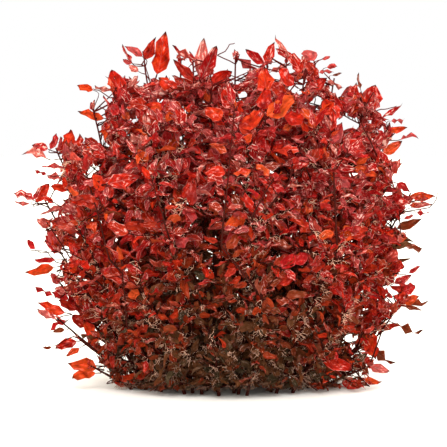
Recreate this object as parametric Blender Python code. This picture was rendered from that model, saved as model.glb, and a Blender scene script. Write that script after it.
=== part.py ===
"""Super red marsh seedbox: a rounded bush of red-leaved stems, each cut off flat at the ground.

Lengths are in metres, +Z is up, the ground is z = 0 and the front of the bush is its -Y side.
Each stem is one closed solid: a four-angled stem, its side shoots and its leaves, grown from one another.
"""

import itertools
import math
import random
from typing import NamedTuple

import bpy
from mathutils import Vector
from mathutils.bvhtree import BVHTree

MM = 0.001
UP = Vector((0.0, 0.0, 1.0))
GOLDEN_ANGLE = math.pi * (3 - math.sqrt(5))

# The bush: a dome, widest a little below half its height, that stands on an oval patch of cut stems.
DOME_HEIGHT = 126 * MM
DOME_RADII = (140 * MM, 108 * MM, 134 * MM)
FOOT_RADII = (78 * MM, 56 * MM)
FOOT_SPACING = 8 * MM
SPREADING_ROUNDS = 40
LOWEST_APEX = 20 * MM

# The shoots that draw the outline from the front: x, y and z of each growing tip in millimetres.
OUTLINE_APEXES = [
    (-62, 38, 245),
    (-24, -44, 245),
    (-84, -30, 229),
    (32, 46, 244),
    (58, -36, 239),
    (82, 30, 231),
    (103, -18, 214),
    (123, 14, 198),
    (124, -34, 168),
    (139, 12, 145),
    (131, -22, 116),
    (130, 28, 91),
    (130, -14, 62),
    (122, 30, 40),
    (109, -24, 20),
    (-101, 20, 211),
    (-126, -14, 180),
    (-110, 44, 158),
    (-136, 8, 140),
    (-124, -36, 108),
    (-129, 20, 80),
    (-126, -16, 54),
    (-114, 30, 34),
    (-100, -26, 19),
    (7, -6, 248),
    (-34, 4, 246),
    (45, 2, 246),
]
FACE_SHOOTS = 12
FACE_SPREAD = 0.86
FACE_TURNS = (0.4, 2.1)

# A stem is four-angled and tapers from its cut foot to its tip.
FOOT_WIDTH = 2.6 * MM
TIP_WIDTH = 1.4 * MM
NODE_LENGTH = 1.6 * MM
BEND = 0.22

# How far below the tip the leafy nodes are.
TIP_NODE = 3 * MM
UPPER_NODE = 17 * MM
SIDE_SHOOT_NODES = (34 * MM, 58 * MM)
BARE_FOOT = 14 * MM
LONGEST_BARE = 120 * MM
BARE = ()

SIDE_SHOOT_LENGTH = (15 * MM, 25 * MM)
SIDE_SHOOT_WIDTH = 1.2 * MM
SIDE_SHOOT_RISE = math.radians(46)

LEAF_LENGTH = (19 * MM, 25 * MM)
LEAF_SLENDERNESS = 0.5
WIDEST_AT = 0.52
LEAF_KEEL = 0.14
LEAF_DROOP = 0.16
STALK_SHARE = 0.2
TIP_LEAF_RISE = math.radians(48)
LOWER_LEAF_RISE = math.radians(22)

# Room kept clear round a leaf and round a stem, and above the ground.
LEAF_ROOM = 0.8 * MM
STEM_ROOM = 0.8 * MM
GROUND_ROOM = 1 * MM

# What is tried in turn for a leaf that would touch another: its rise, its twist to the light and its size.
RISE_CHANGES = (0, 12, -12, 24, -24, 36, -36)
LIGHT_TURNS = (0.7, 0.35, 0)
SIZE_CHANGES = (1, 0.82, 0.66)

# Colours by the height of the tip, from the bright crown to the shaded foot, linear RGB.
TONES = [
    (170 * MM, "crown_red", (0.62, 0.045, 0.028, 1)),
    (80 * MM, "middle_red", (0.42, 0.028, 0.016, 1)),
    (0, "foot_maroon", (0.24, 0.022, 0.012, 1)),
]
LEAF_ROUGHNESS = 0.4


class Curve(NamedTuple):
    """The bent line of a stem, a cubic with four control points, and the direction square to its bend."""

    controls: tuple
    across: Vector
    length: float


class Growth(NamedTuple):
    """What grows on a face of a stem: the face from its lower left corner, the kind and how far it rises."""

    face: tuple
    kind: str
    rise: float


class Leaf(NamedTuple):
    """A leaf's outline from the left of its root round by the right, and what its upper side faces."""

    outline: list
    normal: Vector


class Shape(NamedTuple):
    """A shape for finding what touches, and the ball that it lies in."""

    tree: BVHTree
    centre: Vector
    reach: float


class Stem:
    """The points and faces of one stem, and what is still to grow on it."""

    def __init__(self, index):
        self.index = index
        self.random = random.Random(index)
        self.points = []
        self.faces = []
        self.growths = []

    def add(self, points):
        first = len(self.points)
        self.points.extend(points)
        return tuple(range(first, first + len(points)))

    def corners(self, face):
        return [self.points[i] for i in face]

    def add_leaf(self, face, leaf):
        """A wedge that grows from a four-cornered face and thins to nothing at its edges and tip."""
        low_left, low_right, high_right, high_left = face
        right, tip, left = self.add(leaf.outline[2:])
        self.faces += [
            (high_left, left, tip),
            (high_left, tip, high_right),
            (high_right, tip, right),
            (low_left, tip, left),
            (low_left, low_right, tip),
            (low_right, right, tip),
            (high_left, low_left, left),
            (high_right, right, low_right),
        ]


class Room:
    """The space that stems and leaves already take up."""

    def __init__(self):
        self.taken = []

    def is_free(self, shape, passed_over=None):
        """Whether a shape touches nothing, apart from what belongs to the stem that is passed over."""
        return not any(
            owner != passed_over
            and (shape.centre - other.centre).length < shape.reach + other.reach
            and other.tree.overlap(shape.tree)
            for other, owner in self.taken
        )

    def fits(self, whole, beyond_root, owner):
        """Whether a growth clears every other stem and, beyond its root, its own."""
        return self.is_free(whole, owner) and self.is_free(beyond_root)

    def take(self, shape, owner):
        self.taken.append((shape, owner))


def clear_scene():
    for thing in list(bpy.data.objects):
        bpy.data.objects.remove(thing, do_unlink=True)


def between(low, high, share):
    return low + (high - low) * share


def side_faces(lower, upper):
    """The four faces between two rings, each from its lower left corner as seen from outside."""
    return [(lower[i], lower[(i + 1) % 4], upper[(i + 1) % 4], upper[i]) for i in range(4)]


def face_apexes(side, turn):
    """Tips spread evenly over the front (side -1) or the back (side 1) of the dome by the golden angle."""
    apexes = []
    for i in range(FACE_SHOOTS):
        out = FACE_SPREAD * math.sqrt((i + 0.5) / FACE_SHOOTS)
        angle = turn + i * GOLDEN_ANGLE
        x = DOME_RADII[0] * out * math.cos(angle)
        y = DOME_RADII[1] * math.sqrt(1 - out * out) * side
        z = DOME_HEIGHT + DOME_RADII[2] * out * math.sin(angle)
        apexes.append(Vector((x, y, max(z, LOWEST_APEX))))
    return apexes


def all_apexes():
    outline = [Vector(apex) * MM for apex in OUTLINE_APEXES]
    return outline + face_apexes(-1, FACE_TURNS[0]) + face_apexes(1, FACE_TURNS[1])


def foot_of(apex):
    """A stem starts nearer the rim of the patch the further out and the lower its tip is."""
    plan = Vector((apex.x / DOME_RADII[0], apex.y / DOME_RADII[1], 0))
    height = apex.z / (DOME_HEIGHT + DOME_RADII[2])
    share = 1 / (plan.length + height / 2)
    return Vector((plan.x * share * FOOT_RADII[0], plan.y * share * FOOT_RADII[1], 0))


def spread_apart(feet):
    """Pushes apart the feet that stand too close together."""
    for _ in range(SPREADING_ROUNDS):
        for one, other in itertools.combinations(feet, 2):
            apart = other - one
            short = FOOT_SPACING - apart.length
            if short > 0:
                push = apart.normalized() * (short / 2)
                one -= push
                other += push


def stem_curve(foot, apex):
    """A stem leaves its foot steeply and leans out towards its tip."""
    chord = apex - foot
    start = (chord.normalized() + UP * BEND).normalized()
    third = chord.length / 3
    controls = (foot, foot + start * third, apex - chord.normalized() * third, apex)
    return Curve(controls, UP.cross(chord).normalized(), chord.length * 1.01)


def point_on(curve, t):
    a, b, c, d = curve.controls
    s = 1 - t
    return a * s**3 + b * (3 * s * s * t) + c * (3 * s * t * t) + d * t**3


def direction_on(curve, t):
    a, b, c, d = curve.controls
    s = 1 - t
    return ((b - a) * s * s + (c - b) * (2 * s * t) + (d - c) * t * t).normalized()


def ring_on(curve, t, roll):
    """Four corners square to the stem, which tapers from its foot to its tip."""
    centre = point_on(curve, t)
    other = direction_on(curve, t).cross(curve.across)
    reach = between(FOOT_WIDTH, TIP_WIDTH, t) / math.sqrt(2)
    turns = [roll + i * math.pi / 2 for i in range(4)]
    return [centre + (curve.across * math.cos(a) + other * math.sin(a)) * reach for a in turns]


def nodes_for(curve, rng):
    """The nodes from the foot up, as many as fit: how far below the tip, and what each side bears."""
    turn = rng.randrange(4)
    nodes = [
        (SIDE_SHOOT_NODES[1], ("shoot", None, None, None)),
        (SIDE_SHOOT_NODES[0], ("leaf", None, "shoot", None)),
        (UPPER_NODE, (None, "leaf", None, "leaf")),
        (TIP_NODE, ("leaf", "leaf", "leaf", "leaf")),
    ]
    turned = [(below, kinds[turn:] + kinds[:turn]) for below, kinds in nodes]
    kept = [node for node in turned if node[0] < curve.length - BARE_FOOT]
    lowest = kept[0][0]
    if curve.length - lowest > LONGEST_BARE:
        kept.insert(0, ((curve.length + lowest) / 2, BARE))
    return kept


def grow_tube(stem, room, below, points):
    """Lengthens the stem to the next ring of corners. Returns the new ring and the faces between the two."""
    ring = stem.add(points)
    room.take(tube(stem.corners(below), points), stem.index)
    return ring, side_faces(below, ring)


def grow_stem(index, foot, apex, room):
    """The stem from its flat cut to its tip, with faces left open for its leaves and side shoots."""
    stem = Stem(index)
    curve = stem_curve(foot, apex)
    roll = stem.random.uniform(0, math.pi / 2)
    ring = stem.add([Vector((p.x, p.y, 0)) for p in ring_on(curve, 0, roll)])
    stem.faces.append(tuple(reversed(ring)))
    for distance, kinds in nodes_for(curve, stem.random):
        middle = 1 - distance / curve.length
        half = NODE_LENGTH / curve.length / 2
        rise = between(TIP_LEAF_RISE, LOWER_LEAF_RISE, min(distance / SIDE_SHOOT_NODES[1], 1))
        ring, bare_faces = grow_tube(stem, room, ring, ring_on(curve, middle - half, roll))
        stem.faces += bare_faces
        if kinds == BARE:
            continue
        ring, node_faces = grow_tube(stem, room, ring, ring_on(curve, middle + half, roll))
        stem.faces += [face for face, kind in zip(node_faces, kinds) if kind is None]
        stem.growths += [Growth(face, kind, rise) for face, kind in zip(node_faces, kinds) if kind]
    stem.growths.append(Growth(ring, "leaf", 0))
    return stem


def face_frame(corners):
    """Centre of a face and its rightward, upward and outward directions."""
    low_left, low_right, high_right, high_left = corners
    right = (low_right - low_left + high_right - high_left).normalized()
    up = (high_left - low_left + high_right - low_right).normalized()
    return sum(corners, Vector()) / 4, right, up, right.cross(up).normalized()


def rising(out, up, rise):
    return out * math.cos(rise) + up * math.sin(rise)


def shape_leaf(corners, rise, light_turn, length):
    """A leaf on a face, turned to the light and drooping, or None if it would fold over its root."""
    low_left, low_right, high_right, high_left = corners
    root, rightward, up, out = face_frame(corners)
    along = rising(out, up, rise)
    level = along.cross(UP)
    if level.dot(rightward) < 0:
        level.negate()
    across = rightward.lerp(level, light_turn)
    across = (across - along * across.dot(along)).normalized()
    normal = along.cross(across)
    half = across * (length * LEAF_SLENDERNESS / 2)
    droop = UP * (length * LEAF_DROOP)
    middle = root + along * (length * WIDEST_AT) - droop * WIDEST_AT**2 + normal * (half.length * LEAF_KEEL)
    left, right, tip = middle - half, middle + half, root + along * length - droop
    left_wall = (high_left - tip).cross(low_left - tip)
    right_wall = (low_right - tip).cross(high_right - tip)
    if left_wall.dot(left - tip) <= 0 or right_wall.dot(right - tip) <= 0:
        return None
    return Leaf([(low_left + high_left) / 2, (low_right + high_right) / 2, right, tip, left], normal)


def prism(lower, upper):
    """The shape between two rings with the same number of corners."""
    count = len(lower)
    points = [*lower, *upper]
    walls = [(i, (i + 1) % count, (i + 1) % count + count, i + count) for i in range(count)]
    ends = [tuple(range(count)), tuple(range(count, 2 * count))]
    centre = sum(points, Vector()) / len(points)
    reach = max((p - centre).length for p in points)
    return Shape(BVHTree.FromPolygons(points, walls + ends), centre, reach)


def plate(outline, normal):
    """A leaf with room on both sides of it."""
    return prism([p - normal * LEAF_ROOM for p in outline], [p + normal * LEAF_ROOM for p in outline])


def tube(lower, upper):
    """A length of stem with room round it."""
    rings = []
    for ring in (lower, upper):
        centre = sum(ring, Vector()) / len(ring)
        rings.append([p + (p - centre).normalized() * STEM_ROOM for p in ring])
    return prism(*rings)


def grow_leaf(stem, room, growth):
    """Grows the first of the tried shapes that fits, or closes the face where none does."""
    corners = stem.corners(growth.face)
    length = stem.random.uniform(*LEAF_LENGTH)
    for size, change, light_turn in itertools.product(SIZE_CHANGES, RISE_CHANGES, LIGHT_TURNS):
        leaf = shape_leaf(corners, growth.rise + math.radians(change), light_turn, length * size)
        if leaf is None or min(p.z for p in leaf.outline) < GROUND_ROOM:
            continue
        tip = leaf.outline[3]
        stalk_ends = [p.lerp(tip, STALK_SHARE) for p in leaf.outline[:2]]
        whole = plate(leaf.outline, leaf.normal)
        if room.fits(whole, plate(stalk_ends + leaf.outline[2:], leaf.normal), stem.index):
            room.take(whole, stem.index)
            stem.add_leaf(growth.face, leaf)
            return
    stem.faces.append(growth.face)


def side_shoot_rings(corners, length):
    """The two rings of the leafy node that ends a side shoot grown from a face."""
    centre, _, up, out = face_frame(corners)
    along = rising(out, up, SIDE_SHOOT_RISE)
    offsets = [(p - centre) - along * (p - centre).dot(along) for p in corners]
    spread = [offset.normalized() * SIDE_SHOOT_WIDTH / math.sqrt(2) for offset in offsets]
    ends = [centre + along * length, centre + along * (length + NODE_LENGTH)]
    return [[end + offset for offset in spread] for end in ends]


def grow_side_shoot(stem, room, growth):
    """Grows a side shoot, shorter where room is short. Returns the leaves it bears, or one in its place."""
    corners = stem.corners(growth.face)
    length = stem.random.uniform(*SIDE_SHOOT_LENGTH)
    for size in SIZE_CHANGES:
        near, far = side_shoot_rings(corners, length * size)
        beyond_root = [p.lerp(q, STALK_SHARE) for p, q in zip(corners, near)]
        clears_ground = min(p.z for p in far) > GROUND_ROOM
        if clears_ground and room.fits(tube(corners, far), tube(beyond_root, far), stem.index):
            lower, bare_faces = grow_tube(stem, room, growth.face, near)
            upper, node_faces = grow_tube(stem, room, lower, far)
            stem.faces += bare_faces
            leaves = [Growth(face, "leaf", TIP_LEAF_RISE) for face in node_faces]
            return [*leaves, Growth(upper, "leaf", 0)]
    return [growth._replace(kind="leaf")]


def grow_side_shoots(stem, room):
    """Replaces each side shoot still to grow by the leaves that it bears."""
    growths = []
    for growth in stem.growths:
        growths += grow_side_shoot(stem, room, growth) if growth.kind == "shoot" else [growth]
    stem.growths = growths


def grow_leaves(stem, room):
    """Grows the leaves, those nearest the tip first."""
    for growth in reversed(stem.growths):
        grow_leaf(stem, room, growth)


def centre_on_origin(stems):
    """Moves the bush level until the box round it stands centred over the origin."""
    points = [point for stem in stems for point in stem.points]
    for axis in (0, 1):
        values = [point[axis] for point in points]
        middle = (min(values) + max(values)) / 2
        for point in points:
            point[axis] -= middle


def tone_material(apex):
    """The tone of a stem by the height of its tip."""
    name, colour = next((name, colour) for height, name, colour in TONES if apex.z >= height)
    material = bpy.data.materials.get(name)
    if material is None:
        material = bpy.data.materials.new(name)
        material.use_nodes = True
        surface = material.node_tree.nodes["Principled BSDF"]
        surface.inputs["Base Color"].default_value = colour
        surface.inputs["Roughness"].default_value = LEAF_ROUGHNESS
        surface.inputs["Metallic"].default_value = 0
        material.diffuse_color = colour
    return material


def add_object(stem, apex):
    mesh = bpy.data.meshes.new(f"stem_{stem.index:02d}")
    mesh.from_pydata(stem.points, [], stem.faces)
    mesh.materials.append(tone_material(apex))
    thing = bpy.data.objects.new(mesh.name, mesh)
    bpy.context.scene.collection.objects.link(thing)


def main():
    clear_scene()
    room = Room()
    apexes = all_apexes()
    feet = [foot_of(apex) for apex in apexes]
    spread_apart(feet)
    stems = [grow_stem(i + 1, feet[i], apexes[i], room) for i in range(len(apexes))]
    for stem in stems:
        grow_side_shoots(stem, room)
    for stem in stems:
        grow_leaves(stem, room)
    centre_on_origin(stems)
    for stem, apex in zip(stems, apexes):
        add_object(stem, apex)


main()
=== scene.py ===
"""Super red marsh seedbox: leaves, stems and roots of the bush, grown round its fixed frame, and its stage.

Lengths are in metres, +Z is up, the ground is z = 0 and the front of the bush is its -Y side.
Each stem of the frame is dressed as one piece: its bark, its side shoots, its fine roots and its leaves.
"""

import math
import random
from typing import NamedTuple

import bpy
from bpy.props import FloatProperty, FloatVectorProperty, IntProperty, PointerProperty
from mathutils import Matrix, Quaternion, Vector
from mathutils.kdtree import KDTree


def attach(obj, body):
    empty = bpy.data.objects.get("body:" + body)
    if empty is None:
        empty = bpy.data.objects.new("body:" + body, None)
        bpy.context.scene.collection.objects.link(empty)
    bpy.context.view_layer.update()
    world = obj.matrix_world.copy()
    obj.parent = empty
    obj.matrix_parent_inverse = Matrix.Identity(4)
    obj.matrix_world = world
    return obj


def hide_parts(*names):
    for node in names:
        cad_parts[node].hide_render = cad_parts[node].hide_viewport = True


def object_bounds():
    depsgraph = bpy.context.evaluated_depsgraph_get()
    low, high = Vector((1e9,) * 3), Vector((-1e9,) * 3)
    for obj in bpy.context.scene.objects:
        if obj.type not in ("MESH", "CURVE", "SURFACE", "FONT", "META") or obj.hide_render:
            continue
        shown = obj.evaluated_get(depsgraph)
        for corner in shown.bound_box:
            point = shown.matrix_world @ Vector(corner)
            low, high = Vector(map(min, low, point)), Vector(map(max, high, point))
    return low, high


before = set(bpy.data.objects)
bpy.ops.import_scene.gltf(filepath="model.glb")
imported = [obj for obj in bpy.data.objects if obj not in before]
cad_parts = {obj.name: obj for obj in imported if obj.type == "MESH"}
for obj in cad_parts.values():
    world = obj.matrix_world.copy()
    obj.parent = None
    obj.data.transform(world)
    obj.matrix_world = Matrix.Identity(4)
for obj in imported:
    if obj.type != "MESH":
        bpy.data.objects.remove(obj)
FRAME_BOX = [list(corner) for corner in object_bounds()]

bl_info = {
    "name": "Super red marsh seedbox",
    "version": (1, 0, 0),
    "blender": (4, 5, 0),
    "location": "3D View > Sidebar > Seedbox",
    "description": "Grows the leafy stems of a red marsh seedbox and sets its stage",
    "category": "Add Mesh",
}

MM = 0.001
UP = Vector((0.0, 0.0, 1.0))
FRONT_WAY = Vector((0.0, -1.0, 0.0))
GOLDEN_ANGLE = math.pi * (3 - math.sqrt(5))
QUARTER = math.pi / 2

# The bush as its frame was grown: a dome on an oval patch of cut stems, then moved level by BOX_SHIFT.
DOME_HEIGHT = 126 * MM
DOME_RADII = (140 * MM, 108 * MM, 134 * MM)
BOX_SHIFT = Vector((0.45, -5.1, 0)) * MM
DOME_MIDDLE = Vector((BOX_SHIFT.x, BOX_SHIFT.y, DOME_HEIGHT))
LOWEST_APEX = 20 * MM
BEND = 0.22

# The growing tips that draw the outline from the front: x, y and z in millimetres.
OUTLINE_APEXES = [
    (-62, 38, 245), (-24, -44, 245), (-84, -30, 229), (32, 46, 244), (58, -36, 239), (82, 30, 231),
    (103, -18, 214), (123, 14, 198), (124, -34, 168), (139, 12, 145), (131, -22, 116), (130, 28, 91),
    (130, -14, 62), (122, 30, 40), (109, -24, 20), (-101, 20, 211), (-126, -14, 180), (-110, 44, 158),
    (-136, 8, 140), (-124, -36, 108), (-129, 20, 80), (-126, -16, 54), (-114, 30, 34), (-100, -26, 19),
    (7, -6, 248), (-34, 4, 246), (45, 2, 246),
]
FACE_SHOOTS = 12
FACE_SPREAD = 0.86
FRONT_TURN = 0.4
BACK_TURN = 2.1

# What grows behind this line looks to the back. Leaves are painted darker, as painted shade, over the foot,
# which reaches this far to the side and up, and a few turn orange.
BACK_HALF = 30 * MM
FOOT_SHADE = (115 * MM, 155 * MM)
ORANGE_SHARE = 0.065
# Hue: its mean at the ground, how much cooler it is at the top, its spread and the warmest red.
# The coolest hues are rosy, a painted pink sheen, and the top of the bush has most of them.
GROUND_HUE = 0.52
CROWN_COOLING = 0.44
HUE_SPREAD = 0.21
WARMEST_RED = 0.75
ORANGE_HUES = (0.8, 1.0)
# Age with painted shade: what lowness (age and painted shade), depth in the dome and the shade over the foot
# (painted shade) add to it, its mean and spread by chance, and what youth takes off.
LOW_AGE_AND_SHADE = 0.5
LOW_AGE_AND_SHADE_POWER = 1.4
DEEP_PAINTED_SHADE = 0.35
FOOT_PAINTED_SHADE = 0.85
AGE_CHANCE = (0.02, 0.2)
YOUTH_FRESHNESS = 0.15

# How far below its tip a stem bears its first two side shoots, how long and steep they are in the frame, and
# how much longer and how bent they are when dressed.
FRAME_SHOOT_NODES = (58 * MM, 34 * MM)
FRAME_SHOOT_LENGTH = (15 * MM, 25 * MM)
FRAME_SHOOT_RISE = math.radians(46)
FRAME_SHOOT_GROWTH = 1.25
FRAME_SHOOT_LIFT = 0.25

# How far below its tip a stem bears no side shoots of its own, at the ground and at the top of the bush.
SHOOT_FREE = (10 * MM, 30 * MM)

# The finish of a stem by the height of its tip.
SLOT_HEIGHTS = [(170 * MM, "crown_red"), (80 * MM, "middle_red"), (0, "foot_maroon")]

# What stands out in the front view, in millimetres across and up on the upright plane through its middle.
# Heights are noted from the feet at the front, which are seen this far below the feet at the middle.
NOTED_LOW = 4.6
# A leaf is given by the root and tip of its blade, how wide it looks and its tone.
OUTLINE_LEAVES = [
    (-60, 250, -50, 266, 9, "deep"), (-51, 239, -42, 268, 13, "warm"), (-62, 252, -74, 262, 6, "rosy"),
    (-70, 248, -78, 260, 2.5, "crimson"), (-70, 247, -78, 249, 4, "rosy"), (-65, 241, -73, 246, 5, "rosy"),
    (-78, 221, -82, 244, 12, "scarlet"), (-72, 228, -64, 236, 6, "rosy"), (-99, 227, -110, 231, 5, "orange"),
    (-84, 227, -97, 230, 3.5, "rosy"), (-91, 206, -111, 210, 7, "orange"), (-86, 214, -91, 222, 2, "crimson"),
    (-19, 237, -15, 265, 10, "rosy"), (-18, 235, -7, 262, 10, "crimson"),
    (-22, 250, -41, 255, 2.5, "crimson"), (-22, 234, -39, 248, 7, "deep"), (-24, 230, -39, 239, 6, "deep"),
    (-9, 231, 1, 245, 10, "scarlet"), (24, 242, 8, 254, 5, "rosy"), (29, 247, 14, 257, 7, "crimson"),
    (30, 247, 37, 262, 8, "scarlet"), (48, 250, 37, 267, 4, "rosy"), (50, 251, 38, 258, 6, "crimson"),
    (34, 241, 45, 249, 3, "rosy"), (56, 240, 51, 255, 9, "scarlet"), (58, 242, 63, 254, 8, "deep"),
    (66, 249, 61, 260, 10, "rosy"), (66, 237, 65, 248, 9, "deep"), (72, 250, 79, 252, 2.5, "rosy"),
    (70, 240, 79, 243, 2, "rosy"), (76, 244, 85, 247, 4, "rosy"), (80, 238, 87, 239, 2, "brown"),
    (76, 234, 89, 230, 3.5, "rosy"), (65, 227, 77, 236, 8, "scarlet"), (95, 216, 99, 234, 10, "scarlet"),
    (101, 228, 98, 239, 2, "brown"), (109, 213, 111, 232, 13, "scarlet"),
    (117, 206, 133, 216, 3.5, "crimson"), (124, 204, 134, 206, 2.5, "rosy"),
    (122, 196, 135, 200, 5, "orange"), (118, 179, 134, 189, 8, "orange"), (131, 190, 144, 193, 2.5, "rosy"),
    (118, 171, 134, 172, 5, "orange"), (103, 175, 118, 170, 6, "deep"), (129, 157, 140, 152, 6, "crimson"),
    (138, 147, 159, 150, 6, "orange"), (138, 141, 154, 140, 5, "rosy"), (141, 136, 153, 136, 2.5, "crimson"),
    (134, 131, 143, 132, 3, "rosy"), (129, 124, 148, 128, 7, "brown"), (121, 118, 140, 116, 8, "olive"),
    (135, 110, 149, 109, 3.5, "brown"), (129, 99, 139, 100, 3, "olive"), (117, 98, 135, 92, 9, "scarlet"),
    (138, 90, 147, 94, 4, "crimson"), (134, 76, 144, 79, 9, "crimson"), (134, 75, 126, 82, 6, "deep"),
    (133, 68, 146, 70, 7, "orange"), (133, 70, 125, 72, 5, "scarlet"), (132, 65, 148, 62, 3, "brown"),
    (138, 66, 152, 64, 2, "brown"), (104, 54, 128, 60, 9, "scarlet"), (128, 52, 148, 46, 4.5, "brown"),
    (118, 48, 131, 50, 5, "deep"), (109, 46, 109, 23, 11, "warm"), (110, 34, 128, 22, 5, "brown"),
    (109, 20, 124, 14, 7, "rosy"), (101, 25, 108, 12, 5, "brown"), (88, 6, 104, 8, 10, "scarlet"),
    (105, 9, 117, 7, 6, "orange"), (-133, 183, -145, 188, 7, "crimson"), (-131, 183, -124, 195, 5, "crimson"),
    (-120, 180, -113, 198, 10, "warm"), (-95, 180, -106, 194, 10, "deep"),
    (-104, 175, -87, 181, 9, "scarlet"), (-78, 194, -94, 197, 7, "warm"), (-134, 176, -150, 182, 2.5, "rosy"),
    (-121, 169, -138, 171, 4, "rosy"), (-134, 164, -143, 168, 2.5, "crimson"),
    (-123, 161, -135, 163, 2, "rosy"), (-118, 152, -133, 158, 6, "warm"), (-142, 143, -130, 158, 8, "warm"),
    (-144, 145, -158, 154, 3.5, "crimson"), (-144, 145, -138, 154, 4.5, "crimson"),
    (-147, 142, -158, 143, 3, "rosy"), (-120, 140, -138, 135, 5, "rosy"), (-130, 124, -111, 132, 10, "warm"),
    (-113, 113, -129, 115, 8, "orange"), (-127, 112, -134, 121, 7, "rosy"), (-131, 125, -142, 130, 8, "rosy"),
    (-143, 108, -150, 115, 4.5, "crimson"), (-128, 100, -145, 99, 4.5, "crimson"),
    (-129, 94, -149, 91, 8, "orange"), (-120, 93, -96, 100, 11, "warm"), (-120, 88, -105, 90, 5, "orange"),
    (-117, 71, -109, 86, 12, "crimson"), (-130, 73, -142, 82, 3.5, "crimson"),
    (-121, 60, -143, 65, 8, "warm"), (-127, 55, -143, 60, 2.5, "rosy"), (-94, 55, -111, 67, 12, "deep"),
    (-124, 82, -132, 88, 6, "rosy"), (-112, 38, -130, 35, 8, "scarlet"), (-131, 34, -138, 32, 2.5, "brown"),
    (-110, 33, -120, 27, 5, "ochre"), (-97, 18, -118, 24, 11, "orange"), (-98, 14, -116, 13, 7, "orange"),
    (-121, 47, -129, 47, 4, "brown"), (-120, 54, -134, 49, 3.5, "crimson"), (-84, 7, -63, 10, 9, "warm"),
    (105, 202, 99, 213, 7, "crimson"), (-117, 75, -129, 80, 7, "rosy"), (-103, 58, -113, 71, 10, "deep"),
    (-111, 64, -119, 80, 8, "crimson"), (-96, 50, -110, 60, 9, "deep"), (122, 140, 137, 146, 4, "rosy"),
    (118, 134, 133, 139, 4, "crimson"), (-118, 70, -131, 78, 7, "crimson"), (-112, 62, -124, 70, 7, "deep"),
    (-104, 50, -116, 58, 9, "deep"), (-98, 42, -108, 52, 8, "warm"), (-124, 106, -136, 113, 7, "crimson"),
    (124, 111, 140, 109, 6, "olive"), (127, 82, 140, 88, 6, "crimson"),
]
FACE_LEAVES = [
    (72, 25, 97, 18, 10, "scarlet"), (-80, 18, -63, 23, 8, "scarlet"), (74, 5, 94, 3, 7, "scarlet"),
    (-41, 229, -51, 235, 8, "warm"), (-58, 214, -73, 222, 9, "deep"), (-48, 212, -59, 220, 8, "warm"),
    (-33, 212, -46, 219, 9, "deep"), (-50, 203, -66, 208, 8, "deep"), (-31, 203, -42, 207, 7, "deep"),
    (-3, 205, -13, 215, 10, "warm"), (6, 214, -6, 225, 10, "scarlet"), (-80, 209, -87, 218, 8, "crimson"),
    (31, 225, 27, 243, 12, "warm"), (30, 213, 26, 229, 12, "scarlet"), (46, 224, 31, 231, 9, "deep"),
    (51, 231, 38, 241, 9, "scarlet"), (31, 208, 54, 220, 13, "orange"), (44, 208, 63, 201, 10, "scarlet"),
    (12, 199, 31, 210, 11, "warm"), (80, 209, 71, 221, 10, "warm"), (-97, 176, -110, 180, 7, "deep"),
    (-88, 157, -63, 163, 11, "scarlet"), (-95, 141, -114, 149, 10, "deep"), (-91, 152, -100, 164, 9, "warm"),
    (-73, 120, -91, 126, 9, "deep"), (-73, 84, -93, 96, 11, "deep"), (43, 93, 52, 106, 9, "crimson"),
    (52, 97, 64, 104, 8, "crimson"), (40, 82, 54, 88, 8, "deep"), (46, 72, 60, 77, 7, "brown"),
]

# Bare twigs beyond the foliage, bare shoots at its edge and long leafy shoots across it, each from its
# lower end up.
TWIGS = [
    [(-6, 253), (0, 256), (3, 261), (7, 262)],
    [(67, 215), (67, 222), (66, 237)],
    [(45, 227), (52, 235), (58, 242)],
    [(-127, 98), (-134, 106), (-146, 107)],
    [(153, 139), (158, 145), (159, 150)],
    [(66, 246), (72, 250), (76, 252)],
    [(114, 212), (121, 213), (128, 215)],
    [(-56, 232), (-60, 246), (-62, 256)],
    [(-86, 221), (-93, 226), (-99, 228)],
    [(110, 116), (122, 127), (133, 136), (144, 141)],
]
BARE_SHOOTS = [
    [(-116, 100), (-126, 116), (-134, 128)],
    [(108, 190), (102, 202), (106, 213)],
    [(118, 47), (127, 60), (135, 76)],
    [(104, 25), (99, 33), (103, 44)],
]
LIMBS = [
    [(-3, 110), (2, 160), (7, 215)],
    [(-87, 100), (-96, 136), (-105, 168)],
    [(-74, 50), (-76, 76), (-78, 100)],
    [(-44, 122), (-50, 142), (-55, 160)],
    [(57, 180), (62, 190), (67, 198)],
    [(81, 166), (87, 174), (92, 182)],
    [(20, 132), (28, 147), (36, 161)],
    [(48, 158), (50, 168), (51, 176)],
]

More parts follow.
